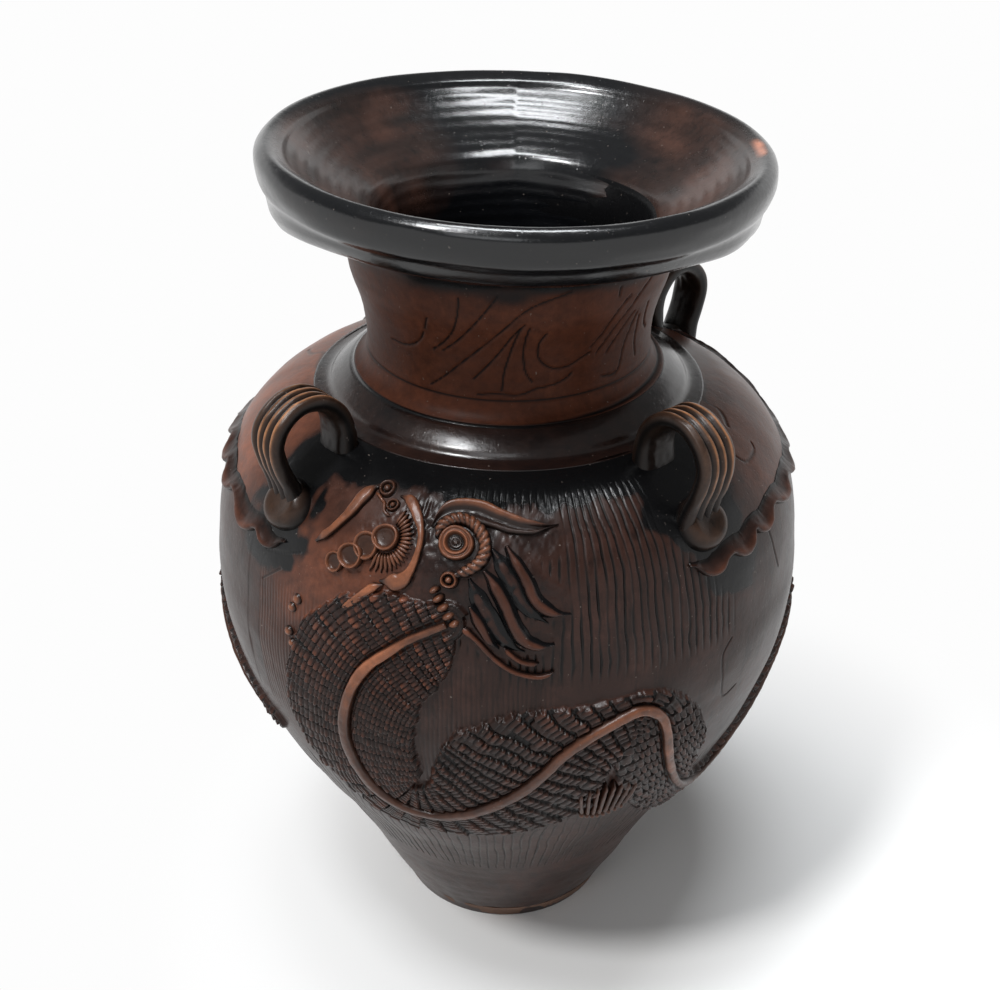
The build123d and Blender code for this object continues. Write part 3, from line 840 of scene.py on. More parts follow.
def stroke_gap(azimuth: Array, height: Array, radius: Array, stroke: Path, reach: float) -> Array:
    """Distance of each point from a line cut by hand.

    Args:
        azimuth: Degrees of the points.
        height: Of the points.
        radius: Of the points.
        stroke: Azimuth and height of the points that the line passes.
        reach: Distance beyond which the answer needs only to be big.

    Returns:
        The least distance to the line's short straight runs, measured on the surface unrolled at each point.
    """
    out = np.full(azimuth.shape, FAR)
    path = smooth_rows(stroke, STROKE_STEPS)
    (a_low, z_low), (a_high, z_high) = path.min(0), path.max(0)
    wide = np.degrees(reach / radius)
    near = (azimuth > a_low - wide) & (azimuth < a_high + wide) & (height > z_low - reach) & (height < z_high + reach)
    a, z, r = azimuth[near], height[near], radius[near]
    best = np.full(a.shape, FAR)
    for (a0, z0), (a1, z1) in zip(path, path[1:]):
        u, v = np.radians(a - a0) * r, z - z0
        du, dv = np.radians(a1 - a0) * r, z1 - z0
        t = np.clip((u * du + v * dv) / np.maximum(du * du + dv * dv, TINY), 0, 1)
        best = np.minimum(best, np.hypot(u - t * du, v - t * dv))
    out[near] = best
    return out


def about_front(azimuth: Array) -> Array:
    """Azimuths brought between half a turn to the left and half a turn to the right."""
    return np.mod(azimuth + HALF_TURN, FULL_TURN) - HALF_TURN


@dataclass
class WallRelief:
    """Fine shape of the jar's wall: combing, stamped scales and the clay that they are pressed in.

    Args:
        azimuth: Degrees, for each point.
        run: Length along the wall's outline, for each point.
        window: How far from a point the ridge is looked for, up and down and sideways.
        ground_reach: How far from the head's ground a point still counts.
        combs: Step in degrees, half width of a groove as a share of the step, and depth, for each of three combs.
        back_lugs: Azimuths of the back lugs, where dark glaze lies too.
    """

    azimuth: Array
    run: Array
    window: tuple[float, float] = (80.0, 85.0)
    ground_reach: float = 24.0
    combs: tuple[Row, ...] = ((1.62, 0.2, 1.25), (2.3, 0.14, 0.7), (0.86, 0.3, 0.42))
    back_lugs: Row = (134.0, -148.0)

    def __post_init__(self) -> None:
        """Finds the nearest place on the back ridge for every point."""
        self.radius, self.height, _, _ = WALL.at(self.run)
        self.local = np.mod(self.azimuth - FRONT_START, HALF_TURN) + FRONT_START
        self.round = about_front(self.azimuth)
        path = smooth_rows([(a, WALL.run_at(z), b, c) for a, z, b, c in RIDGE_PATH], RIDGE_STEPS)
        shape = self.azimuth.shape
        self.side, self.along = np.full(shape, FAR), np.zeros(shape)
        self.below, self.above = np.zeros(shape), np.zeros(shape)
        best = np.full(shape, FAR)
        upright, sideways = self.window
        run = 0.0
        for (a0, s0, b0, c0), (a1, s1, b1, c1) in zip(path, path[1:]):
            radius = float(WALL.at(np.array((s0 + s1) / 2))[0])
            length = math.hypot(math.radians(a1 - a0) * radius, s1 - s0)
            level = np.abs(self.run - s0) < upright
            near = level & (np.abs(self.local - a0) * self.radius < math.degrees(sideways))
            u = np.radians(self.local[near] - a0) * self.radius[near]
            v = self.run[near] - s0
            du, dv = math.radians(a1 - a0) * radius / length, (s1 - s0) / length
            t = np.clip(u * du + v * dv, 0.0, length)
            gap = np.hypot(u - t * du, v - t * dv)
            closer = gap < best[near]
            spots = tuple(k[closer] for k in np.nonzero(near))
            best[spots] = gap[closer]
            self.side[spots] = np.where((u * -dv + v * du)[closer] > 0, gap[closer], -gap[closer])
            self.along[spots] = run + t[closer]
            share = t[closer] / length
            self.below[spots] = b0 + (b1 - b0) * share
            self.above[spots] = c0 + (c1 - c0) * share
            run += length
        self.head_gap = self.gap_to(HEAD_GROUND)
        self.snout_gap = self.gap_to(SNOUT_GROUND)

    def band(self) -> Array:
        """Share of the stamped clay at each point: 1 well inside its ragged edge, 0 outside.

        Returns:
            One share for each point of the wall.
        """
        reach = RIDGE_WIDTH / 2 + np.where(self.side < 0, self.above, self.below)
        half = np.sign(self.side)
        ragged = Scatter.BAND_EDGE.at(self.along, half) + Scatter.BAND_NICKS.at(self.along, half)
        return Zone.BAND_EDGE.on(reach + ragged - np.abs(self.side))

    def scales(self) -> Array:
        """Height of the stamped scales, 0 to 1.

        Returns:
            Rows run across the body and step along it. Along a row the height rises, then drops at an edge that bulges
            by a scallop at each tooth. Slits part the teeth. Rows past the first bend are looser.
        """
        runs, counts, pitches = np.asarray(STAMP_ROWS).T
        loose, away = Zone.LOOSE_ROWS.on(self.along), np.abs(self.side)
        wander = (0.07 + 0.1 * loose) * Scatter.ROW_WANDER.at(self.along, self.side)
        wander = wander + 0.07 * loose * Scatter.ROW_SHAKE.at(self.along, self.side)
        row = np.interp(self.along, runs, counts) + wander
        count = np.floor(row)
        pitch = np.interp(self.along, runs, pitches) * (1 + 0.15 * Zone.WIDER_TEETH.on(away) * (self.side < 0))
        shift = 0.5 * np.mod(count, 2) * (loose > 0.5)
        shift = shift + (0.1 + 0.16 * loose) * Scatter.ROW_SHIFT.at(count * 1.7, self.side)
        tooth = away / pitch + shift
        across = 1.0 - np.abs(2.0 * np.mod(tooth, 1.0) - 1.0) ** (5.0 - 2.0 * loose)
        share = row - count
        edge = 0.84 - 0.18 * loose + (0.04 + 0.15 * loose) * across + 0.04 * hashed(count, np.floor(tooth), 6)
        rise = 0.5 + 0.5 * np.clip(share / edge, 0, 1) ** 0.8
        drop = Zone.SCALE_DROP.off(share - edge)
        slit = 1.0 - 0.72 * (1.0 - across) * (1 - loose * Zone.SLIT_CLOSES.off(share))
        strength = 0.84 + 0.16 * hashed(count, np.floor(tooth), 5)
        return rise * drop * slit * strength

    def gap_to(self, paths: Paths) -> Array:
        """Distance to the nearest of some paths, right up to the reach.

        Args:
            paths: Azimuths and heights of each path.

        Returns:
            One distance for each point of the wall.
        """
        out = np.full(self.height.shape, self.ground_reach)
        for path in paths:
            gap = stroke_gap(self.local, self.height, self.radius, path, self.ground_reach)
            out = np.minimum(out, gap)
        return out

    def comb_shares(self) -> tuple[Array, Array, Array]:
        """Where each comb was drawn: down from the collar, up from the foot, and lightly over the plain wall.

        Returns:
            The upper, lower and light comb's share at each point.
        """
        z, a = self.height, self.local
        left = -10 + 9 * Zone.COMB_LEFT_LOW.off(z) - 6 * Zone.COMB_LEFT_HIGH.on(z)
        right = np.interp(z, GLAZE_EDGE_HEIGHTS, GLAZE_EDGE_RIGHT)
        upper = Zone.COMB_BOTTOM.on(z) * Zone.COMB_LEFT.on(a - left) * Zone.COMB_RIGHT.off(a - right)
        upper = upper * Zone.COMB_HEAD.on(self.head_gap) * Zone.COMB_TOP.off(z)
        lower = Zone.FOOT_COMB_TOP.off(z) * Zone.FOOT_COMB_BOTTOM.on(z)
        plain = hill(-12, 16, 6, a) * hill(285, 45, 12, z) + hill(-46, 12, 8, a) * hill(298, 42, 22, z) * 0.7
        return upper, lower, plain * (1 - upper)

    def combing(self) -> tuple[Array, Array]:
        """Depth of the combed grooves in millimetres and how wide open they are.

        Returns:
            Depth and a 0 to 1 value of the groove. A groove is a narrow dip at each whole number of the azimuth over
            the comb's step, which wanders a little. Lines cut by hand are added.
        """
        wander = Scatter.COMB_WANDER.at(self.local, self.height) + Scatter.COMB_SHAKE.at(self.local, self.height)
        total = np.zeros_like(self.height)
        for (step, width, depth), amount in zip(self.combs, self.comb_shares()):
            line = self.local / step + wander
            gap = np.abs(line - np.round(line))
            press = 0.65 + Scatter.COMB_PRESS.at(np.round(line) * 3.1, self.height)
            total = total + amount * depth * press * fall(width * 0.3, width, gap)
        for cut in SHOULDER_CUTS:
            gap = stroke_gap(self.local, self.height, self.radius, cut, 2.0)
            total = np.maximum(total, 0.5 * Zone.CUT.off(gap))
        return total, np.clip(total / 0.8, 0, 1)

    def dark_glaze(self) -> Array:
        """Share of thick dark glaze round the lugs, under the collar and behind the head.

        Returns:
            One share for each point of the wall.
        """
        z, a = self.height, self.round
        rough = Scatter.RUN_WIDE.at(a, z) + Scatter.RUN_FINE.at(a, z)
        out = Zone.GLAZED_TOP.on(z + 1.5 * rough) * Zone.GLAZED_FRONT.off(np.abs(a) + rough)
        right = Zone.GLAZE_RIGHT_EDGE.on(a - np.interp(z, GLAZE_EDGE_HEIGHTS, GLAZE_EDGE_RIGHT) + rough)
        right = right * Zone.GLAZE_RIGHT_END.off(a + rough) * Zone.GLAZE_RIGHT_LOW.on(z + rough)
        left = Zone.GLAZE_LEFT_EDGE.on(np.interp(z, GLAZE_EDGE_HEIGHTS, GLAZE_EDGE_LEFT) - a + rough)
        left = left * Zone.GLAZE_LEFT_END.on(a + rough) * Zone.GLAZE_LEFT_LOW.on(z + rough)
        out = np.maximum(out, right + left)
        for centre in self.back_lugs:
            across = np.radians(a - centre) * self.radius
            reach = np.hypot(across, (self.run - WALL.run_of(404.0) + 8) / 1.25)
            out = np.maximum(out, Zone.GLAZE_BACK.off(reach + 2 * rough))
        return np.maximum(out, (0.42 + Scatter.HEAD_GLAZE.at(a, z)) * Zone.HEAD_GLAZE.off(self.head_gap))

    def worn_glaze(self) -> Array:
        """Where the glaze lies thin and red: the left shoulder, round the snout, and a little on the right shoulder.

        Returns:
            One share for each point of the wall.
        """
        z, a = self.height, self.round
        shoulder = Zone.WORN_LEFT.off(a) * Zone.WORN_LEFT_LOW.on(z) * 0.62
        shoulder = shoulder + Zone.WORN_RIGHT.on(a) * Zone.WORN_RIGHT_LOW.on(z) * 0.3
        snout = hill(-33, 8, 9, self.local) * hill(364, 22, 18, z) * 0.34
        snout = snout + hill(-42, 12, 12, self.local) * Zone.WORN_SIDE.on(z) * 0.12
        return (shoulder + snout) * (0.75 + Scatter.WORN.at(a, z))

    def solve(self) -> tuple[Array, Array, Array, Array]:
        """Lift, crest, wear and pool at every point.

        Returns:
            The lift in millimetres, and three shares.
        """
        z, band, scales = self.height, self.band(), self.scales()
        depth, groove = self.combing()
        outside = 1 - band
        on_ridge = fall(RIDGE_WIDTH * 0.4, RIDGE_WIDTH * 0.9, np.abs(self.side))
        modelled = Scatter.MODELLED_WIDE.at(self.local, z) + Scatter.MODELLED_FINE.at(self.local, z)
        modelled = modelled * (
            0.75 * Zone.MODELLED_SNOUT.off(self.snout_gap) + 0.5 * Zone.MODELLED_HEAD.off(self.head_gap)
        )
        body = Scatter.BODY_WIDE.at(self.azimuth, z) + Scatter.BODY_FINE.at(self.azimuth, z) + modelled
        rings = 0.05 * np.sin(z / 1.9 + Scatter.RING_WAVER.at(self.azimuth, z))
        lift = body + rings * (1 - Zone.FOOT_RINGS.on(z) * 0.7) - depth * outside
        lift = lift + BAND_LIFT * 0.5 * band + SCALE_DEPTH * scales * band * (1 - on_ridge)
        # Crest sets the colour: low points of the scale rows and the comb grooves take the dark groove colour, partly
        # pooled glaze and partly painted shade.
        crest = np.where(band > 0.4, 0.02 + 0.95 * scales ** 1.1, 0.68 - 0.6 * groove)
        neck = Zone.RUBBED_NECK.on(z) * hill(-28, 14, 14, self.local)
        wear = band * Zone.RUBBED_SCALES.on(scales) * (0.14 + 0.3 * neck)
        wear = wear + self.worn_glaze() * outside * (1 - groove)
        lift = lift * (Zone.WALL_FOOT.on(z) * Zone.WALL_TOP.off(z))
        return lift, crest, np.clip(wear, 0, 1), self.dark_glaze() * (1 - 0.7 * band)


# ---------------------------------------------------------------- strips and rounds laid on the wall

def mirrored(half: Path) -> Path:
    """A cross-section from its left half, whose last point is the middle."""
    return (*half, *((-x, y) for x, y in half[-2::-1]))


class Cut(Enum):
    """Cross-sections of a strip of clay: place across in half widths and height in lifts."""

    ROUND = mirrored(((-1.0, 0.0), (-0.97, 0.28), (-0.86, 0.58), (-0.62, 0.84), (-0.3, 0.97), (0.0, 1.0)))
    FLAT = mirrored(((-1.0, 0.0), (-0.98, 0.45), (-0.9, 0.75), (-0.7, 0.93), (-0.35, 1.0), (0.0, 0.98)))
    SOFT = mirrored(((-1.0, 0.0), (-0.86, 0.13), (-0.68, 0.42), (-0.48, 0.78), (-0.24, 0.96), (0.0, 1.0)))
    CAPE = (
        (-1.0, 0.0), (-0.95, 0.45), (-0.85, 0.82), (-0.7, 1.0), (-0.52, 0.97), (-0.3, 0.76), (0.0, 0.5), (0.35, 0.27),
        (0.65, 0.13), (0.88, 0.04), (1.0, 0.0),
    )
    LEAF = (
        (-1.0, 0.0), (-0.95, 0.5), (-0.8, 0.88), (-0.62, 1.0), (-0.42, 0.86), (-0.2, 0.48), (0.1, 0.26), (0.4, 0.3),
        (0.66, 0.62), (0.86, 0.56), (1.0, 0.0),
    )


@dataclass
class Strip:
    """A strip of clay laid along a path on the wall.

    Args:
        path: Azimuth and height of the points that it passes, then its width and its rub there as shares of the full
            ones, where they aren't full.
        width: Full width.
        lift: How far its top stands off the wall.
        cut: Its cross-section.
        twist: Pitch of the strands, for a strip rolled into a rope; nothing when 0.
        wear: How far its top is rubbed.
        pool: How far dark glaze covers it.
        start: Share of its width at the first point.
        end: Share of its width at the last point.
        sink: How deep its underside lies in the wall.
        flip: The cross-section is turned about.
        shallow: How far its height falls with its width.
        step: Distance between its cross-sections, and the same for a rope.
    """

    path: Path
    width: float
    lift: float
    cut: Cut = Cut.ROUND
    twist: float = 0.0
    wear: float = 0.8
    pool: float = 0.0
    start: float = 0.25
    end: float = 0.25
    sink: float = 2.0
    flip: bool = False
    shallow: float = 0.0
    step: tuple[float, float] = (1.1, 0.9)

    def line(self) -> tuple[Array, Array, Array]:
        """Azimuth and run, share of the width and share of the rub at even steps along the path.

        Returns:
            Pairs of azimuth and run, then the two shares.
        """
        plain = (1.0, 1.0)
        rows = [(row[0], WALL.run_of(row[1]), *row[2:], *plain[len(row) - 2:]) for row in self.path]
        azimuth, run, share, rub = smooth_rows(rows, STRIP_STEPS).T
        radius = WALL.at(run)[0]
        table = np.column_stack([np.radians(azimuth) * radius.mean(), run, azimuth, share, rub])
        table = evenly(table, self.step[1] if self.twist else self.step[0])
        return table[:, [2, 1]], table[:, 3], table[:, 4]

    def shell(self) -> Shell:
        """The strip's closed skin.

        Returns:
            Each cross-section is laid across the path: its places go along the wall, its heights off it. The width
            shrinks near both ends. A rope's height dips where the strands meet.
        """
        path, share, rub = self.line()
        radius = WALL.at(path[:, 1])[0]
        slope = np.gradient(path, axis=0)
        flat = np.column_stack([np.radians(slope[:, 0]) * radius, slope[:, 1]])
        along = flat / np.linalg.norm(flat, axis=1, keepdims=True)
        run = np.linspace(0, 1, len(path))
        length = self.step[0] * len(path)
        tip = max(0.08, min(0.3, self.width * 1.2 / length))
        taper = np.minimum(
            self.start + (1 - self.start) * ramp(0, tip, run), self.end + (1 - self.end) * ramp(0, tip, 1 - run)
        )
        cut = np.asarray(self.cut.value) * np.array([-1.0 if self.flip else 1.0, 1.0])
        places = np.vstack([cut, [[cut[-1, 0], -1.0], [cut[0, 0], -1.0]]])
        reach = run * length
        wobble = 1 + Scatter.STRIP_WIDE.at(reach, self.width) + Scatter.STRIP_FINE.at(reach, self.width)
        across = places[None, :, 0] * (self.width / 2 * share * taper * wobble)[:, None]
        rise = np.where(places[None, :, 1] >= 0, places[None, :, 1] * self.lift, -self.sink)
        level = (0.35 + 0.65 * taper) * (1 - self.shallow * (1 - np.clip(share, 0, 1)))
        rise = np.where(rise > 0, rise * level[:, None], rise)
        reach = reach[:, None]
        strand = np.zeros_like(rise)
        if self.twist:
            strand = np.abs(np.mod((reach + across * 0.75) / self.twist, 1.0) * 2 - 1)
            rise = np.where(rise > 0, rise * (0.5 + 0.5 * np.sqrt(np.clip(1 - strand ** 2.4, 0, 1))), rise)
        rough = Scatter.STRIP_ROUGH.at(reach, across) + Scatter.STRIP_WAVES.at(reach, across)
        rise = np.where(rise > 0, rise + rough, rise)
        azimuth = path[:, :1] + np.degrees(across * -along[:, 1:] / radius[:, None])
        points = placed(WALL, azimuth, path[:, 1:] + across * along[:, :1], rise)
        stand = np.clip(rise, 0, None) / self.lift
        top, flank = Zone.STRIP_TOP.on(stand), Zone.STRIP_FLANK.on(stand)
        # Crest sets the colour: the strip's base, flanks and strand joins take the dark groove colour, partly pooled
        # glaze and partly painted shade.
        crest = np.clip(0.15 + 0.4 * flank + 0.25 * top - 0.7 * strand ** 3, 0, 1)
        patchy = 0.75 + Scatter.STRIP_RUB.at(reach, across)
        wear = self.wear * rub[:, None] * top ** 1.5 * (1 - 0.9 * strand ** 2) * patchy
        return Shell(points, crest, np.clip(wear, 0, 1), self.pool * (1 - 0.8 * top))


@dataclass
class Round:
    """A round pad of clay pressed on the wall, such as an eye, a bead or a dished bump.

    Args:
        azimuth: Of its middle.
        height: Of its middle.
        radius: Of its rim.
        outline: Height of the pad in lifts at each share of the radius, from the middle out.
        lift: Its full height.
        wear: How far its top is rubbed.
        pool: How far dark glaze covers it.
        inner: More thick glaze on the inner half of it.
        squash: Its height over its width.
        lean: Turn of that oval, in degrees.
        sides: Points round it.
        sink: How deep its underside lies in the wall.
    """

    azimuth: float
    height: float
    radius: float
    outline: Path
    lift: float
    wear: float = 0.6
    pool: float = 0.0
    inner: float = 0.0
    squash: float = 1.0
    lean: float = 0.0
    sides: int = 40
    sink: float = 2.0

    def shell(self) -> Shell:
        """The pad's closed skin: rings at each share of the radius, laid along the wall, and a sunk underside.

        Returns:
            The skin.
        """
        table = smooth_rows(self.outline, ROUND_STEPS)
        shares = np.concatenate([table[:, 0], [table[-1, 0], 0.5]])
        rises = np.concatenate([table[:, 1] * self.lift, [-self.sink, -self.sink]])
        turn = np.linspace(0, 2 * np.pi, self.sides, endpoint=False)
        wobble = 1 + 0.035 * np.sin(2 * turn + self.azimuth) + 0.02 * np.sin(3 * turn + self.height)
        x = shares[:, None] * self.radius * np.cos(turn) * wobble
        y = shares[:, None] * self.radius * np.sin(turn) * wobble * self.squash
        lean = math.radians(self.lean)
        u, v = x * math.cos(lean) - y * math.sin(lean), x * math.sin(lean) + y * math.cos(lean)
        run = WALL.run_of(self.height)
        radius = float(WALL.at(np.array(run))[0])
        points = placed(WALL, self.azimuth + np.degrees(u / radius), run + v, rises[:, None] * np.ones_like(u))
        level = np.clip(rises / self.lift, 0, 1)
        pool = self.pool + self.inner * Zone.ROUND_INNER.off(shares)
        values = (0.12 + 0.8 * level ** 1.5, self.wear * level ** 2.5, pool)
        return Shell(points, *(value[:, None] for value in values))


BEAD: Path = ((0.02, 1.0), (0.35, 0.93), (0.65, 0.72), (0.88, 0.35), (1.0, 0.0))
DISH: Path = ((0.02, 0.44), (0.4, 0.46), (0.64, 0.56), (0.76, 0.88), (0.85, 1.0), (0.94, 0.86), (1.0, 0.0))
EYE: Path = (
    (0.02, 0.62), (0.1, 0.6), (0.16, 0.42), (0.22, 0.5), (0.3, 0.5), (0.36, 0.34), (0.46, 0.5), (0.56, 0.92),
    (0.62, 0.98),
    (0.68, 0.72), (0.74, 0.72), (0.84, 0.86), (0.93, 0.6), (1.0, 0.0),
)
ROSETTE: Path = ((0.02, 0.9), (0.25, 0.75), (0.42, 0.2), (0.6, 0.75), (0.74, 0.8), (0.86, 0.35), (1.0, 0.0))
PAD: Path = ((0.02, 0.86), (0.25, 0.9), (0.45, 0.98), (0.6, 1.0), (0.76, 0.84), (0.9, 0.5), (1.0, 0.0))


# ---------------------------------------------------------------- sub-assemblies

@dataclass
class Wall:
    """The thrown wall from the foot to the collar, with the dragon's stamped body on it.

    Args:
        spans: First and last azimuth of each span, and the step of its columns.
        cuts: Heights at which one piece ends and the next starts.
        row_steps: Distance between the rows of each piece.
        beyond: How far past its edges a piece looks to find the way that its surface faces.
    """

    spans: Path = ((-56.0, 72.0, 0.18), (72.0, 104.0, 0.3), (104.0, 260.0, 0.55), (260.0, 304.0, 0.3))
    cuts: Row = (0.0, 93.0, 166.0, 203.0, 240.0, 276.0, 312.0, 345.0, 375.0, 402.0, 430.0)
    row_steps: Row = (2.6, 1.6, 0.7, 0.66, 0.66, 0.66, 0.66, 0.78, 1.1, 1.3)
    beyond: float = 1.0

    def columns(self) -> Array:
        """Azimuths of the grid's columns, closer together on the seen side.

        Returns:
            Degrees, rising once round.
        """
        return np.concatenate([
            np.linspace(low, high, round((high - low) / step), endpoint=False) for low, high, step in self.spans
        ])

    def section(self, low: float, high: float, step: float) -> Shell:
        """One height of the wall as a closed loop carried round the axis.

        Args:
            low: Height of its lower edge.
            high: Height of its upper edge.
            step: Distance between its rows.

        Returns:
            The outer side carries the relief. The inner side lies a wall thickness inside, along the normal.
        """
        azimuth = self.columns()
        s0, s1 = WALL.run_of(low), WALL.run_of(high)
        rows = np.linspace(s0, s1, int((s1 - s0) / step) + 1)
        a, s = np.meshgrid(azimuth, np.concatenate([[s0 - self.beyond], rows, [s1 + self.beyond]]))
        lift, *values = WallRelief(a, s).solve()
        skin = placed(WALL, a, s, lift)
        around = np.roll(skin, -1, 1)[1:-1] - np.roll(skin, 1, 1)[1:-1]
        normals = np.cross(around, skin[2:] - skin[:-2])
        normals /= np.linalg.norm(normals, axis=-1, keepdims=True)
        a, s = np.meshgrid(azimuth, np.linspace(s1, s0, INNER_ROWS))
        blank, turn = np.zeros_like(a), np.radians(a)
        foot = low == 0
        inner = placed(WALL, a, s, blank - WALL_THICKNESS * (FOOT_THICKER if foot else 1.0))
        if foot:
            inner[..., 2] = np.maximum(inner[..., 2], FOOT_RISE)
        inward = np.stack([-np.sin(turn), np.cos(turn), blank], -1)
        crest, wear, pool = (
            np.vstack([value[1:-1], blank + plain]) for value, plain in zip(values, INNER_VALUES)
        )
        points, directions = np.vstack([skin[1:-1], inner]), np.vstack([normals, inward])
        return Shell(points, crest, wear, pool, loop=True, normals=directions)

    def build(self, glaze: Material) -> None:
        """Makes the wall's pieces from the foot up.

        Args:
            glaze: The jar's glaze.
        """
        scales = [f"dragon_{side}_scales_{part}" for side in ("front", "back") for part in ("outer", "inner")]
        lower, upper = ["lower_wall"], ["upper_wall"]
        low, high = [lower + scales] * 3, [upper + scales] * 2
        stands_for = [["foot_wall"], lower, *low, lower + upper + scales, *high, upper, upper]
        for k, nodes in enumerate(stands_for):
            shell = self.section(self.cuts[k], self.cuts[k + 1], self.row_steps[k])
            build_piece(f"wall_{k + 1}", [shell], glaze, nodes)


@dataclass
class Neck:
    """The collar and the waisted neck, with rings and freehand leaves cut in it.

    Args:
        columns: Columns of the grid.
        row_step: Distance between its rows.
        inner: Radius and height of the neck's inner side, from the top down.
        collar_inner: The same for the collar.
        strokes: Azimuth and height of the points of each line cut by hand.
        rings: Height, width and rise of each cut ring.
        stroke_width: Width of a cut line.
        stroke_depth: Its depth.
        collar_pool: Thick glaze on the collar.
        rub: How far the neck is rubbed.
    """

    columns: int = 600
    row_step: float = 1.15
    inner: Path = ((92, 546), (85, 524), (83, 494), (83, 467), (87, 449), (95, 446))
    collar_inner: Path = ((95, 446), (104, 436), (120, 430))
    strokes: Paths = (
        ((-16.8, 530), (-17.5, 518), (-19.8, 506), (-24, 496), (-29, 488.5)),
        ((-4, 533), (-8.5, 521), (-13.5, 509), (-19, 498), (-25, 489)),
        ((-31, 463), (-25, 471), (-17.5, 483), (-9, 497), (-2, 510), (3, 520), (9, 527.5), (20, 534)),
        ((5, 513.5), (1, 505), (-3, 494), (-8, 482.5), (-13.5, 472)),
        ((3.5, 510), (1.5, 500), (-0.5, 488), (-2, 478), (-2.8, 465)),
        ((6.5, 510.5), (5.2, 500), (5, 488), (6, 478), (8.5, 471)),
        ((12.5, 506), (10.2, 498), (10.3, 489), (13, 482.5), (17.5, 478.7), (22.5, 479.3), (27, 483), (31, 486)),
        ((-12, 462), (-5, 462.8), (4, 462.5), (10, 466), (17, 467.8), (22, 471), (24, 474)),
        ((-50, 484.5), (-43, 485), (-38, 488), (-34, 494), (-32, 500)), ((-31, 503), (-29, 512)),
        ((38.5, 530), (38.3, 524)), ((44, 522), (40, 516), (37, 507), (35, 498), (31, 490)),
        ((58.5, 533), (54, 528), (48, 519), (43, 508), (39, 496), (34, 484)), ((48, 508), (44, 495), (39, 482)),
        ((50.3, 506), (50, 495), (48.5, 482), (47, 467), (43, 464.5), (38, 466)),
        ((53, 502), (54.5, 492), (56, 480), (58, 470)), ((56, 510), (58, 500), (60.5, 491), (64, 486)),
    )
    rings: Path = ((458.3, 0.9, 0.0), (445.6, 1.0, 3.2))
    stroke_width: float = 1.9
    stroke_depth: float = 1.0
    collar_pool: float = 0.58
    rub: float = 0.24

    def build(self, glaze: Material, black: Material) -> None:
        """Makes the collar and the neck.

        Args:
            glaze: The neck's thin glaze.
            black: The thick glaze.
        """
        collar = self.tube(COLLAR_OUTLINE, self.collar_inner, self.collar_pool)
        build_piece("collar", [collar], black, ["neck_collar"])
        build_piece("neck", [self.tube(NECK_OUTLINE, self.inner, 0.0)], glaze, ["neck"])

    def cutting(self, azimuth: Array, height: Array, radius: Array) -> Array:
        """Share of the cut rings and lines at each point: one at the bottom of a cut.

        Args:
            azimuth: Degrees.
            height: Height of each point.
            radius: Radius of each point.

        Returns:
            One share for each point.
        """
        groove = np.zeros_like(height)
        for level, width, rise in self.rings:
            waver = level + Scatter.NECK_RING.at(azimuth, 0.0)
            waver = waver + rise * Zone.RING_RISES.on(azimuth) * Zone.RING_SINKS.off(azimuth)
            groove = np.maximum(groove, Zone.CUT.off(np.abs(height - waver) / width))
        for start in (0.0, -HALF_TURN):
            for stroke in self.strokes:
                gap = stroke_gap(about_front(azimuth - start), height, radius, stroke, 2.0)
                groove = np.maximum(groove, Zone.STROKE.off(gap / (self.stroke_width / 2)))
        return groove

    def tube(self, outline: list[Row], inner: Path, pool: float) -> Shell:
        """A ring of the neck: the outer outline up, the inner one down, carried round the axis.

        Args:
            outline: Radius and height, from below.
            inner: Radius and height, from above.
            pool: How far dark glaze has gathered.

        Returns:
            The ring's skin.
        """
        profile = Profile(outline)
        end = profile.length[-1]
        azimuth = np.linspace(-HALF_TURN, HALF_TURN, self.columns, endpoint=False)
        a, s = np.meshgrid(azimuth, np.linspace(0, end, int(end / self.row_step) + 2))
        radius, height, _, _ = profile.at(s)
        groove = self.cutting(a, height, radius)
        lift = Scatter.NECK.at(a, height) + 0.04 * np.sin(height / 1.3)
        outer = placed(profile, a, s, (lift - self.stroke_depth * groove) * (ramp(0, 3, s) * fall(end - 3, end, s)))
        rows = smooth_rows(inner, INNER_STEPS)
        r, z, turn = rows[:, :1], rows[:, 1:], np.radians(azimuth)
        inside = np.stack([r * np.sin(turn), -r * np.cos(turn), z * np.ones_like(turn)], -1)
        blank = np.zeros(inside.shape[:2])
        dark = np.clip(pool + Zone.NECK_GLAZED.on(height + Scatter.NECK_GLAZE.at(a, height)) * 0.9, 0, 1)
        wear = self.rub * (1 - groove) * (1 - dark)
        return Shell(
            np.vstack([outer, inside]), np.vstack([0.7 - 0.65 * groove, blank + 0.4]), np.vstack([wear, blank]),
            np.vstack([dark, blank + 1.0]), loop=True,
        )


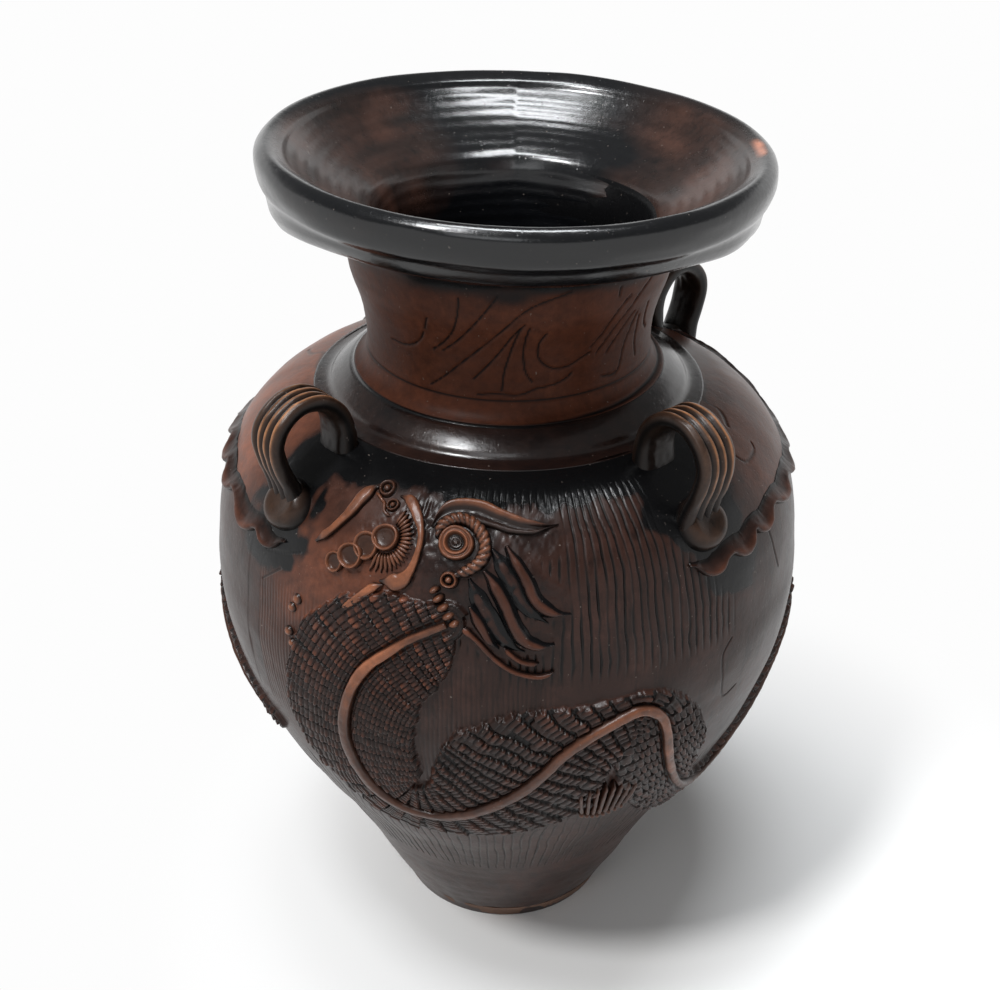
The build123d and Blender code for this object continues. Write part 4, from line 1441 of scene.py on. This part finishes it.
@dataclass
class Mouth:
    """The flared mouth with its rings underneath and its rolled lip, leaning a little as it was thrown.

    Args:
        columns: Columns of the grid.
        row_step: Distance between its rows.
        outline: Radius and height, out along the underside, round the lip and down the inside.
        tilt: Lean to the right, in degrees.
        shift: How far it stands off the axis.
        drop: How far the rings underneath sag at the sides.
        chip: Azimuth and half width of the chip in the lip, in degrees.
        drips: Azimuth, drop and half width of each drip.
    """

    columns: int = 520
    row_step: float = 2.0
    outline: Path = (
        (113, 546), (120, 551), (124, 549), (132, 550), (138, 556), (140, 559.5), (145, 556.6), (151, 558.7),
        (155, 564),
        (157.5, 569), (161, 573), (163, 581), (163, 588), (160, 592.5), (155, 594.5), (146, 590), (143, 586),
        (132, 576),
        (118, 566), (104, 558.5), (95, 553), (90, 546), (86, 534), (83.5, 518), (82.2, 502), (82.2, 490), (85, 488),
        (90, 505), (95, 530), (100, 543),
    )
    tilt: float = 1.55
    shift: float = 2.3
    drop: float = 7.0
    chip: Row = (90.0, 5.5)
    drips: Path = ((79, 5.0, 5), (-72, 3.0, 9), (-95, 2.5, 7), (118, 3.5, 6), (-140, 4.0, 5), (160, 3.0, 8))

    def leaning(self, radius: Array, height: Array, azimuth: Array) -> Array:
        """Points carried round the axis, then leaned about the neck's top.

        Args:
            radius: Distance from the axis.
            height: Height.
            azimuth: Degrees.

        Returns:
            Places.
        """
        turn = np.radians(azimuth)
        flat = np.stack([radius * np.sin(turn), -radius * np.cos(turn), height - NECK_TOP], -1)
        lean = np.array(Matrix.Rotation(math.radians(self.tilt), 3, "Y"))
        return np.asarray(flat @ lean.T) + np.array([self.shift, 0.0, NECK_TOP])

    def build(self, black: Material) -> None:
        """Makes the mouth in one piece.

        Args:
            black: The thick glaze.
        """
        curve = evenly(smooth_rows(self.outline, MOUTH_STEPS), self.row_step)
        a = np.linspace(-HALF_TURN, HALF_TURN, self.columns, endpoint=False)[None, :]
        r, z = curve[:, :1], curve[:, 1:]
        slope = np.gradient(curve, axis=0)
        slope /= np.linalg.norm(slope, axis=1, keepdims=True)
        run = np.arange(len(curve))[:, None] * self.row_step
        share = np.linspace(0, 1, len(curve))[:, None]
        inside = Zone.MOUTH_INSIDE.on(share)
        wave = Scatter.MOUTH.at(a, run) + 0.13 * np.sin(run / 1.3 + Scatter.MOUTH_RINGS.at(a, run)) * inside
        wave = wave + Scatter.MOUTH_OUTSIDE.at(a, run) * (1 - inside)
        wave = wave * Zone.MOUTH_START.on(run) * Zone.MOUTH_END.off(share)
        under = Zone.UNDERSIDE.on(r) * Zone.UNDER_LIP.off(z) * (1 - inside)
        sag = self.drop * Zone.SAG_SIDES.on(np.abs(a)) * under
        for middle, size, spread in self.drips:
            sag = sag + size * np.exp(-((a - middle) / spread) ** 2) * under * Zone.DRIP_EDGE.on(r)
        points = self.leaning(r + slope[:, 1:] * wave, z - slope[:, :1] * wave - sag, a)
        # The inner left and right walls get less dark glaze and a little rub, so they show paler brown: partly glaze
        # colour, partly a painted sheen.
        side = Zone.MOUTH_SHEEN_SIDES.on(np.abs(np.sin(np.radians(a + 8)))) * inside * Zone.MOUTH_THROAT.off(share)
        middle, spread = self.chip
        chip = np.exp(-(((a - middle) / spread) ** 4))
        chip = chip * Zone.CHIP_INNER.on(r) * Zone.CHIP_OUTER.off(r) * Zone.CHIP_TOP.on(z)
        wear = np.maximum(0.08 * Zone.MOUTH_RUB.on(Scatter.MOUTH_RUB.at(a, run)) * side, 0.9 * chip)
        pool = np.clip(0.8 + Scatter.MOUTH_GLAZE.at(a, run) - 0.62 * side - 1.5 * chip, 0, 1)
        shell = Shell(points, 0.6 + Scatter.MOUTH_CREST.at(a, run), wear, pool, loop=True)
        nodes = ["mouth_flare", "mouth_ring_lower", "mouth_ring_upper", "lip_roll"]
        build_piece("mouth", [shell], black, nodes)


@dataclass
class Lug:
    """A strap lug pulled from the collar down to the wall, with ribs and a thumbed foot.

    Args:
        name: Of its solid.
        azimuth: Where it stands.
        width: Of the strap.
        thickness: Of the strap.
        groove: Depth between its ribs.
        ribs: How many there are.
        across: Points across its outer and its inner side.
        step: Distance between its cross-sections.
        middle: Radius and height of the points that its middle line passes.
        foot_height: Height of the middle of its foot.
        foot_radius: Half the width of its foot.
        foot_lift: How far its foot stands off the wall.
    """

    name: str
    azimuth: float
    width: float = 28.0
    thickness: float = 12.0
    groove: float = 2.4
    ribs: int = 4
    across: tuple[int, int] = (57, 25)
    step: float = 1.2
    middle: Path = (
        (141, 421), (140.4, 438), (145, 452), (157, 462.5), (172, 463.5), (185, 455), (190, 443), (187.5, 428),
        (182, 413.5), (178.5, 401), (175.5, 391),
    )
    foot_height: float = 397.5
    foot_radius: float = 18.5
    foot_lift: float = 9.0

    def section(self) -> tuple[Array, Array]:
        """The ribbed cross-section, and how high on a rib each of its points is.

        Returns:
            Places across and out, and one share for each.
        """
        outer, inner = self.across
        side = np.linspace(-1, 1, outer)
        rib = np.abs(np.sin(np.clip(side * 1.06, -1, 1) * self.ribs * np.pi / 2)) ** 0.9
        rib = np.where(np.abs(side) > 0.75, np.maximum(rib, 0.75 + 0.25 * np.abs(side)), rib)
        edge = np.clip(1 - np.abs(side) ** 9, 0, 1) ** 0.5
        front = np.column_stack([side * self.width / 2, edge * (self.thickness / 2 - self.groove * (1 - rib))])
        back = np.linspace(1, -1, inner)[1:-1]
        depth = np.sqrt(np.clip(1 - np.abs(back) ** 3, 0, 1)) * self.thickness / 2
        cut = np.vstack([front, np.column_stack([back * self.width / 2, -depth])])
        return cut, np.concatenate([rib * edge, np.full(len(back), 0.4)])

    def strap(self) -> Shell:
        """The strap: its cross-section carried along its middle line, in the lug's own upright plane.

        Returns:
            The strap's skin.
        """
        path = evenly(smooth_rows(self.middle, LUG_STEPS), self.step)
        slope = np.gradient(path, axis=0)
        slope /= np.linalg.norm(slope, axis=1, keepdims=True)
        run = np.linspace(0, 1, len(path))[:, None]
        cut, high = self.section()
        x, y = cut.T[:, None, :]
        spread = 1 + 0.16 * Zone.STRAP_FOOT.on(run) + 0.12 * Zone.STRAP_TOP.off(run)
        thicker = 1 + 0.2 * Zone.STRAP_THICK_TOP.off(run) + 0.3 * Zone.STRAP_THICK_FOOT.on(run)
        across = x * spread * (1 + Scatter.LUG_WIDTH.at(run * 9, self.azimuth))
        off = y * (1 + Scatter.LUG_THICKNESS.at(run * 7, x)) * thicker
        off = off + Scatter.LUG_ROUGH.at(run * 22, x) * np.sign(off)
        radius = path[:, :1] - slope[:, 1:] * off
        height = path[:, 1:] + slope[:, :1] * off
        turn = math.radians(self.azimuth)
        c, s = math.cos(turn), math.sin(turn)
        points = np.stack([radius * s + across * c, radius * -c + across * s, height], -1)
        high = high * np.ones_like(run)
        # Rubbed rib tops and thinner dark glaze, both most at the top of the arch: partly real wear, partly painted
        # light on the arch's lit top.
        wear = 0.85 * Zone.RIB_TOP.on(high) * Zone.RIB_RUB.on(Scatter.LUG_RUB.at(run * 8, x))
        wear = wear * hill(0.42, 0.22, 0.25, run)
        return Shell(points, 0.05 + 0.85 * high, wear, 0.5 - 0.25 * hill(0.42, 0.2, 0.25, run))

    def foot(self) -> Shell:
        """The thumbed pad at the strap's lower end."""
        place = (self.azimuth + 0.8, self.foot_height, self.foot_radius)
        return Round(*place, PAD, self.foot_lift, 0.06, 0.42, squash=0.97, sides=64).shell()

    def build(self, glaze: Material) -> None:
        """Makes the lug's strap."""
        build_piece(self.name, [self.strap()], glaze, [self.name])


FRILL_RIGHT: Path = (
    (35, 376, 1.0), (41, 374.5, 1.0), (47, 376, 1.0), (54, 379, 1.0), (62, 381, 1.0), (70, 381.5, 1.0),
    (78, 381.5, 0.9),
    (86, 380.5, 0.75), (95, 380.5, 0.62), (102, 384, 0.55), (107, 391.5, 0.5), (111, 398.5, 0.48), (116, 406, 0.46),
    (121, 412, 0.44), (127, 415, 0.4), (131, 416, 0.35),
)
FRILL_LEFT: Path = (
    (-46, 376, 1.0), (-52, 375.5, 1.0), (-59, 376.2, 1.0), (-66, 379, 1.0), (-74, 381, 1.0), (-81, 385, 0.95),
    (-88, 387.5, 0.85), (-95, 385, 0.8), (-105, 380, 0.8), (-117, 378, 0.8), (-132, 378, 0.8), (-146, 380, 0.7),
)


@dataclass
class Frill:
    """A wavy band pinched with finger and thumb, between two lugs on one side.

    Args:
        name: Of its solid.
        path: Azimuth and height of the points that it passes, and its fullness there.
        width: Of the band.
        lift: How far its tips stand off the wall.
        pinch: Distance from tip to tip.
        degree: Millimetres to a degree on the shoulder.
    """

    name: str
    path: Path
    width: float = 16.0
    lift: float = 5.8
    pinch: float = 33.0
    degree: float = 3.3

    def build(self, glaze: Material) -> None:
        """Makes the band: its line hangs in scallops from tip to tip, and it is widest and highest at each tip.

        Args:
            glaze: The jar's glaze.
        """
        fine = smooth_rows(self.path, FRILL_STEPS)
        azimuth, height, full = fine.T
        run = np.concatenate([[0.0], np.cumsum(np.hypot(np.diff(azimuth) * self.degree, np.diff(height)))])
        phase = run / self.pinch + Scatter.FRILL.at(run, self.path[0][0])
        tip = (0.5 - 0.5 * np.cos(2 * np.pi * phase)) ** 1.3
        rows = np.column_stack([azimuth, height - (4.5 * tip - 3.5) * full, (0.66 + 0.42 * tip) * full])
        flip = azimuth[0] > azimuth[-1]
        shell = Strip(rows, self.width, self.lift, Cut.CAPE, wear=0.2, pool=0.15, flip=flip, shallow=0.8).shell()
        build_piece(self.name, [shell], glaze, [self.name])


MANE_LOCKS: Paths = (
    ((-0.4, 404, 0.5), (1, 398, 0.8), (2.6, 391, 0.9), (3.6, 385, 1.0), (4.4, 379, 1.0), (5.8, 373.5, 0.95),
     (8, 369.6, 0.7), (11, 368.2, 0.3)),
    ((-4.4, 392.5, 0.5), (-3, 388, 0.8), (-1.6, 381.5, 1.0), (-0.5, 375, 1.0), (0.4, 368, 1.0), (1.5, 360, 1.0),
     (3, 353.3, 0.95), (5.3, 350, 0.8), (8, 350.6, 0.3)),
    ((-6.6, 373.5, 0.5), (-5.4, 367, 0.8), (-4.2, 360.5, 0.8), (-3.1, 354, 0.6), (-1.4, 348.5, 0.3)),
)
# Low strips of heavy dark glaze beside the mane locks: painted shade of the hollows between the locks, partly pooled
# glaze.
MANE_HOLLOW_SHADE: Paths = (
    ((-3.2, 403, 0.4), (-1.2, 396, 0.9), (0.4, 389, 1.0), (1.8, 381, 1.0), (3.2, 374, 0.9), (5, 368, 0.7),
     (7, 363.5, 0.3)),
    ((-7, 388, 0.4), (-5.6, 380, 0.9), (-4, 371, 1.0), (-2.6, 363, 1.0), (-1, 355, 0.9), (1, 349, 0.6), (3, 346, 0.2)),
)
WHISKERS: Paths = (
    ((-8.2, 361.5, 1.6), (-7.2, 358.5, 1.5), (-6.2, 356, 1.2), (-5, 352.3, 1.0), (-3.2, 345), (-1.2, 338.3),
     (0.8, 333.4), (3, 330.3), (5.8, 329), (8, 331.6, 0.6)),
    ((-0.6, 349), (0.4, 345), (1.8, 341), (3.4, 338.5), (5.4, 338)),
)
ROSETTE_STEM: Path = ((-30.2, 417.5), (-29, 416.8), (-27.8, 415.5), (-27, 414.6), (-26.2, 411.5), (-24.5, 410.2))
# Azimuth, height and radius of small round pieces; a bump has its lift too
BUMPS: Path = ((-23.9, 401.2, 8.4, 6.0), (-27.4, 395.4, 8.6, 5.0), (-29.9, 388.4, 8.2, 6.0), (-33.0, 382.4, 6.4, 4.6))
BEADS: Path = ((-13.0, 380.6, 3.8), (-12.2, 376.2, 4.2), (-11.2, 371.6, 4.6), (-10.2, 367.2, 4.6), (-9.1, 363.2, 4.2))
KNOBS: Path = ((-40.6, 349.0, 3.57), (-41.8, 341.5, 3.4), (-42.6, 323.0, 3.57), (-41.6, 316.0, 2.89))
# Applied parts that the front and the back each have as solids of their own
OWN_PARTS: dict[str, list[Strip]] = {
    "upper_jaw": [Strip((
        (-29.8, 419.6, 0.8), (-31, 418.5, 1.0), (-32.3, 414, 1.1), (-33.2, 408, 1.0), (-34.6, 401.5, 0.75),
        (-36, 396, 0.7), (-38.4, 388.5, 0.9),
    ), 7.2, 4.6, Cut.FLAT, wear=0.62, pool=0.5, end=0.3)],
    "cheek_strip": [Strip((
        (-24.0, 418.6, 0.9), (-21.2, 417.4, 0.95), (-18.8, 412.5, 0.9), (-17.3, 407, 0.6), (-16.9, 401.6, 0.5),
        (-17.2, 394.5, 0.55), (-17.9, 388, 0.8), (-19.4, 382, 1.3), (-21.4, 380.5, 1.35), (-23.4, 379.5, 0.9),
    ), 7.6, 4.8, Cut.FLAT, wear=0.62, pool=0.5)],
    "lower_jaw": [Strip((
        (-22.6, 377.8, 0.8), (-24.4, 375, 0.9), (-26.2, 369.5, 0.85), (-28.2, 363, 0.8), (-30.6, 355.8, 0.5),
    ), 6.2, 4.6, Cut.FLAT, wear=0.9, pool=0.4, end=0.1)],
    "horn": [Strip((
        (-15.4, 409.5, 0.45, 0.3), (-14.0, 414.5, 0.8, 0.6), (-11.2, 417.2, 1.05, 1), (-7, 417.4, 1.1, 1),
        (-2.6, 415.2, 1.05, 0.9), (1.6, 412.6, 0.85, 0.7), (5.6, 411.4, 0.55, 0.6), (10.2, 412.2, 0.2, 0.5),
    ), 13.5, 5.6, Cut.LEAF, wear=0.55, pool=0.45, flip=True, end=0.1)],
    "mane": [
        *(Strip(path, 10.5, 5.6, Cut.SOFT, wear=0.14, pool=0.9, start=0.6, end=0.2) for path in MANE_LOCKS),
        *(Strip(path, 12.0, 1.4, Cut.SOFT, wear=0.0, pool=1.5, start=0.5) for path in MANE_HOLLOW_SHADE),
    ],
    "whiskers": [Strip(path, 3.4, 3.2, wear=0.3, pool=0.5) for path in WHISKERS],
}
# Applied parts whose front and back are one node
SHARED_PARTS: dict[str, list[Strip | Round]] = {
    "snout_bumps": [Round(*place, DISH, lift, 0.42, 0.12) for *place, lift in BUMPS],
    "eye_ring": [Round(-10.1, 404.2, 11.0, EYE, 5.2, 0.62, 0.1, inner=0.45, sides=64)],
    "brow_rope": [Strip((
        (-13.9, 405.5, 0.8), (-13.6, 409.5, 0.9), (-12.2, 412.6), (-9.8, 414), (-7.2, 412.6), (-5.2, 408.6),
        (-4.4, 403),
        (-4.9, 397.8), (-6.3, 394), (-8.2, 391), (-9.6, 389.4, 0.9),
    ), 8.0, 6.4, twist=4.7, wear=0.5, pool=0.35, start=0.5, end=0.6)],
    "brow_boss": [Round(-10.6, 386.6, 6.0, ROSETTE, 6.2, 0.55, 0.3)],
    "cheek_beads": [Round(*place, BEAD, 7.4, 0.4, 0.3, squash=0.62, lean=28.0, sides=32) for place in BEADS],
    "rosettes": [
        Round(-27.9, 420.0, 6.4, ROSETTE, 4.0, 0.25, 0.3),
        Round(-25.0, 414.8, 4.8, ROSETTE, 3.6, 0.3, 0.2),
        Strip(ROSETTE_STEM, 2.4, 2.4, wear=0.4),
    ],
    # Knob tops rubbed paler: partly real rub, partly a painted highlight on the small glossy knobs.
    "knobs": [Round(*place, BEAD, 2.6, 0.6, 0.0, sides=24) for place in KNOBS],
}


@dataclass
class Dragon:
    """The applied parts of the dragon: ridge, head, mane and claws, once in front and once behind.

    Args:
        teeth_middle: Azimuth and height that the teeth fan out from.
        teeth_turns: First and last turn of the fan in degrees, and the number of teeth.
        teeth_inner: Where a tooth starts, from the middle.
        teeth_outer: Where the shortest tooth ends.
        toes: How many toes the paw has.
        paw: Azimuth of its middle.
    """

    teeth_middle: Row = (-24.0, 401.0)
    teeth_turns: tuple[float, float, int] = (66.0, -104.0, 19)
    teeth_inner: float = 8.6
    teeth_outer: float = 17.5
    toes: int = 8
    paw: float = 20.2

    def ridge(self) -> list[Strip]:
        """The smooth ridge along the back, which thins toward the tail and is rubbed most at its bends.

        Returns:
            One strip.
        """
        count = len(RIDGE_PATH) - 1
        rows = []
        for i, (a, z, _, _) in enumerate(RIDGE_PATH):
            rub = 0.16 + 0.84 * hill(-22, 6, 8, a) * Zone.RUBBED_BEND.on(z)
            rub = rub + 0.42 * hill(24, 8, 8, a) * Zone.RUBBED_BACK_BEND.on(z)
            rows.append((a, z, min(1.0, 0.35 + 1.3 * (1 - i / count)), float(rub)))
        return [Strip(rows, RIDGE_WIDTH, RIDGE_LIFT, Cut.FLAT, wear=0.95, start=0.6)]

    def teeth(self) -> list[Strip]:
        """Thin ridges that fan out round the last bump, longest below.

        Returns:
            One strip for each tooth.
        """
        azimuth, height = self.teeth_middle
        strips = []
        for turn in np.linspace(*self.teeth_turns):
            c, s = math.cos(math.radians(turn)), math.sin(math.radians(turn))
            inner, outer = self.teeth_inner, self.teeth_outer + 4.5 * max(0.0, -turn - 20) / 80
            stations = ((inner, 0.8), ((inner + outer) / 2, 1.1), (outer, 0.7))
            rows = [(azimuth + math.degrees(d * c / 178.0), height + d * s * 0.82, k) for d, k in stations]
            strips.append(Strip(rows, 2.4, 3.0, wear=0.3, pool=0.15))
        return strips

    def claws(self) -> list[Strip | Round]:
        """The paw: toes side by side with beads at their ends.

        Returns:
            A strip and a bead for each toe.
        """
        parts = []
        for share in np.linspace(-1, 1, self.toes):
            top, bottom = self.paw + 5.6 * share, self.paw + 4.4 * share
            low = 193 + 5 * share ** 2
            high = 230 - 5 * share ** 2
            rows = [(top, high, 0.5), (top, 219, 1.0), ((top + bottom) / 2, 207, 1.0), (bottom, low, 1.1)]
            parts.append(Strip(rows, 3.5, 6.0, wear=0.12, pool=0.3))
            parts.append(Round(bottom, low - 1.5, 2.6, BEAD, 5.6, 0.3, 0.2, sides=20))
        return parts

    def build(self, worn: Material, glaze: Material) -> None:
        """Makes each applied part on the front and on the back.

        Args:
            worn: The glaze that is rubbed on raised clay.
            glaze: The jar's glaze.
        """
        own = {"back_ridge": self.ridge(), **OWN_PARTS, "claws": self.claws()}
        for part, strips in own.items():
            shells = [strip.shell() for strip in strips]
            finish, slot = (glaze, BROWN_SLOT) if part in ("mane", "whiskers") else (worn, RELIEF_SLOT)
            for side, group in (("front", shells), ("back", [shell.turned() for shell in shells])):
                name = f"dragon_{side}_{part}"
                build_piece("relief_" + name, group, finish, [name])
        bumps, *others = SHARED_PARTS.items()
        for part, strips in (bumps, ("teeth", self.teeth()), *others):
            shells = [strip.shell() for strip in strips]
            name = "dragon_" + part
            nodes = [name, "dragon_eyeball"] if part == "eye_ring" else [name]
            both = shells + [shell.turned() for shell in shells]
            build_piece("relief_" + name, both, worn, nodes)


# ---------------------------------------------------------------- studio

@dataclass
class Studio:
    """Pale floor, soft lamps and the camera at the photograph's place.

    Args:
        eye: Place of the camera, in millimetres.
        pitch: How far it looks down, in degrees.
        roll: How far it leans, in degrees.
        lens: Focal length, in millimetres.
        sensor: Width of the picture at that length.
        clip: Nearest and farthest thing that it sees, in metres.
        floor_size: Width of the floor, in metres.
        floor_colour: Colour of the floor.
        backdrop: White of the surroundings.
        daylight: Colour of the lamps.
        surround: Strength of the light from everywhere.
        white_to: Rise of a direction up to which the surroundings show white, and from which they don't.
        shade: Middle of the shadow on the floor, in metres.
        shade_size: Distance from it where the shadow starts to fade, and where it has gone.
    """

    eye: Row = (-5.2, -918.5, 883.7)
    pitch: float = 30.88
    roll: float = 0.45
    lens: float = 54.0
    sensor: float = 36.0
    clip: tuple[float, float] = (0.05, 100.0)
    floor_size: float = 30.0
    floor_colour: str = "#fbfbfa"
    backdrop: str = "#fdfdfd"
    daylight: str = "#f9fcff"
    surround: float = 0.2
    white_to: tuple[float, float] = (0.32, 0.42)
    shade: Row = (0.12, -0.02, 0.0)
    shade_size: tuple[float, float] = (0.12, 0.42)

    def put(self, name: str, data: bpy.types.ID) -> bpy.types.Object:
        """An object for a mesh, a lamp or a camera, linked to the scene.

        Args:
            name: The object's name.
            data: What it shows.

        Returns:
            The object.
        """
        made = bpy.data.objects.new(name, data)
        bpy.context.collection.objects.link(made)
        return made

    def camera(self) -> None:
        """Places the camera: it looks along +Y, then down by the pitch, and leans by the roll."""
        data = bpy.data.cameras.new("camera")
        data.lens, data.sensor_width = self.lens, self.sensor
        data.clip_start, data.clip_end = self.clip
        camera = self.put("camera", data)
        look = Matrix.Rotation(math.radians(90 - self.pitch), 4, "X") @ Matrix.Rotation(math.radians(self.roll), 4, "Z")
        camera.matrix_world = Matrix.Translation(Vector(self.eye) * MILLIMETRE) @ look
        bpy.context.scene.camera = camera

    def background_rays(self, tree: Tree) -> Socket:
        """One for the rays that show the background: from the camera, and off or through a surface.

        Args:
            tree: A material's or the world's tree.

        Returns:
            One for those rays, zero for others.
        """
        rays = add_node(tree, "ShaderNodeLightPath").outputs
        seen = reckon(tree, "MAXIMUM", rays["Is Camera Ray"], rays["Is Glossy Ray"])
        return reckon(tree, "MAXIMUM", seen, rays["Is Transmission Ray"])

    def floor(self) -> None:
        """A wide pale floor under the jar, white beyond the jar's shadow."""
        half = self.floor_size / 2
        mesh = bpy.data.meshes.new("floor")
        mesh.from_pydata([(-half, -half, 0), (half, -half, 0), (half, half, 0), (-half, half, 0)], [], [(0, 1, 2, 3)])
        material, tree = blank_material("floor_matte_white")
        inputs = {"Base Color": linear(self.floor_colour), "Roughness": 0.9, "Specular IOR Level": 0.1}
        shader = add_node(tree, "ShaderNodeBsdfPrincipled", inputs).outputs[0]
        place = add_node(tree, "ShaderNodeTexCoord").outputs["Object"]
        far = add_node(tree, "ShaderNodeVectorMath", {0: place, 1: self.shade}, operation="DISTANCE").outputs["Value"]
        fading = remap(tree, far, *self.shade_size, interpolation_type="SMOOTHSTEP")
        share = reckon(tree, "MULTIPLY", fading, self.background_rays(tree))
        white = add_node(tree, "ShaderNodeEmission", {"Color": linear(self.backdrop), "Strength": 1.0}).outputs[0]
        surface(tree, add_node(tree, "ShaderNodeMixShader", {0: share, 1: shader, 2: white}).outputs[0])
        mesh.materials.append(material)
        floor = self.put("floor", mesh)

    def lamp(self, name: str, place: Row, size: Row, power: float, target: Row = (0.0, 0.0, 0.35)) -> None:
        """A soft lamp of a width and a length that points at the jar.

        Args:
            name: The lamp's name.
            place: Metres.
            size: Metres.
            power: Watts.
            target: The place it points at.
        """
        data = bpy.data.lights.new(name, "AREA")
        data.shape = "RECTANGLE"
        data.size, data.size_y = size
        data.energy = power
        data.color = linear(self.daylight)[:3]
        lamp = self.put(name, data)
        lamp.location = place
        lamp.rotation_euler = (Vector(target) - Vector(place)).to_track_quat("-Z", "Y").to_euler()

    def sun(self, name: str, place: Row, strength: float, spread: float) -> None:
        """A broad even light from the direction of a place, as through a window with a blind.

        Args:
            name: The lamp's name.
            place: The side it shines from.
            strength: Watts per square metre.
            spread: Degrees that it spans.
        """
        data = bpy.data.lights.new(name, "SUN")
        data.energy = strength
        data.angle = math.radians(spread)
        sun = self.put(name, data)
        sun.location = place
        sun.rotation_euler = (-Vector(place)).to_track_quat("-Z", "Y").to_euler()

    def world(self) -> None:
        """Dim even light from everywhere, shown as white from below the horizon to a little above it."""
        world = bpy.data.worlds.new("studio")
        bpy.context.scene.world = world
        world.use_nodes = True
        tree = world.node_tree
        tree.nodes.clear()
        aim = add_node(tree, "ShaderNodeTexCoord").outputs["Generated"]
        rise = add_node(tree, "ShaderNodeSeparateXYZ", {"Vector": aim}).outputs["Z"]
        band = remap(tree, rise, *self.white_to, low=1.0, high=0.0)
        shown = reckon(tree, "MULTIPLY", self.background_rays(tree), band)
        strength = remap(tree, shown, low=self.surround)
        ground = add_node(tree, "ShaderNodeBackground", {"Color": linear(self.backdrop), "Strength": strength})
        add_node(tree, "ShaderNodeOutputWorld", {"Surface": ground.outputs[0]})

    def build(self) -> None:
        """Sets up the whole studio."""
        self.camera()
        self.floor()
        self.sun("window_left", (-0.85, -0.75, 1.9), 1.35, 8.0)
        self.lamp("lamp_above", (0.08, -0.02, 2.4), (0.32, 1.1), 33.0)
        self.lamp("lamp_above_left", (-0.6, -0.5, 2.3), (0.34, 0.42), 17.0)
        self.lamp("lamp_behind_viewer", (-0.3, -1.6, 1.9), (0.9, 0.6), 4.0)
        self.world()
        bpy.context.scene.view_settings.view_transform = "Standard"


def dress_base(material: Material) -> None:
    """Gives the flat base its bare clay; its solid stays.

    Args:
        material: The bare clay.
    """
    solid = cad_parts["base_disc"]
    solid.data.materials.clear()
    solid.data.materials.append(material)


def main() -> None:
    """Builds the jar from the foot up, then the studio."""
    logging.basicConfig(level=logging.INFO, format="%(name)s: %(message)s")
    body, black, worn, handled = (glaze.build() for glaze in (BODY_GLAZE, BLACK_GLAZE, WORN_GLAZE, LUG_GLAZE))
    dress_base(BareStoneware().build())
    Wall().build(body)
    Neck().build(NECK_GLAZE.build(), black)
    Mouth().build(black)
    lugs = [Lug(f"lug_{place}", azimuth) for place, azimuth in LUG_AZIMUTHS.items()]
    for lug in lugs:
        lug.build(handled)
    build_piece("lug_feet", [lug.foot() for lug in lugs], handled, ["lug_thumb_pads"])
    Frill("frill_right", FRILL_RIGHT).build(body)
    Frill("frill_left", FRILL_LEFT).build(body)
    Dragon().build(worn, body)
    Studio().build()


if __name__ == "__main__":
    main()
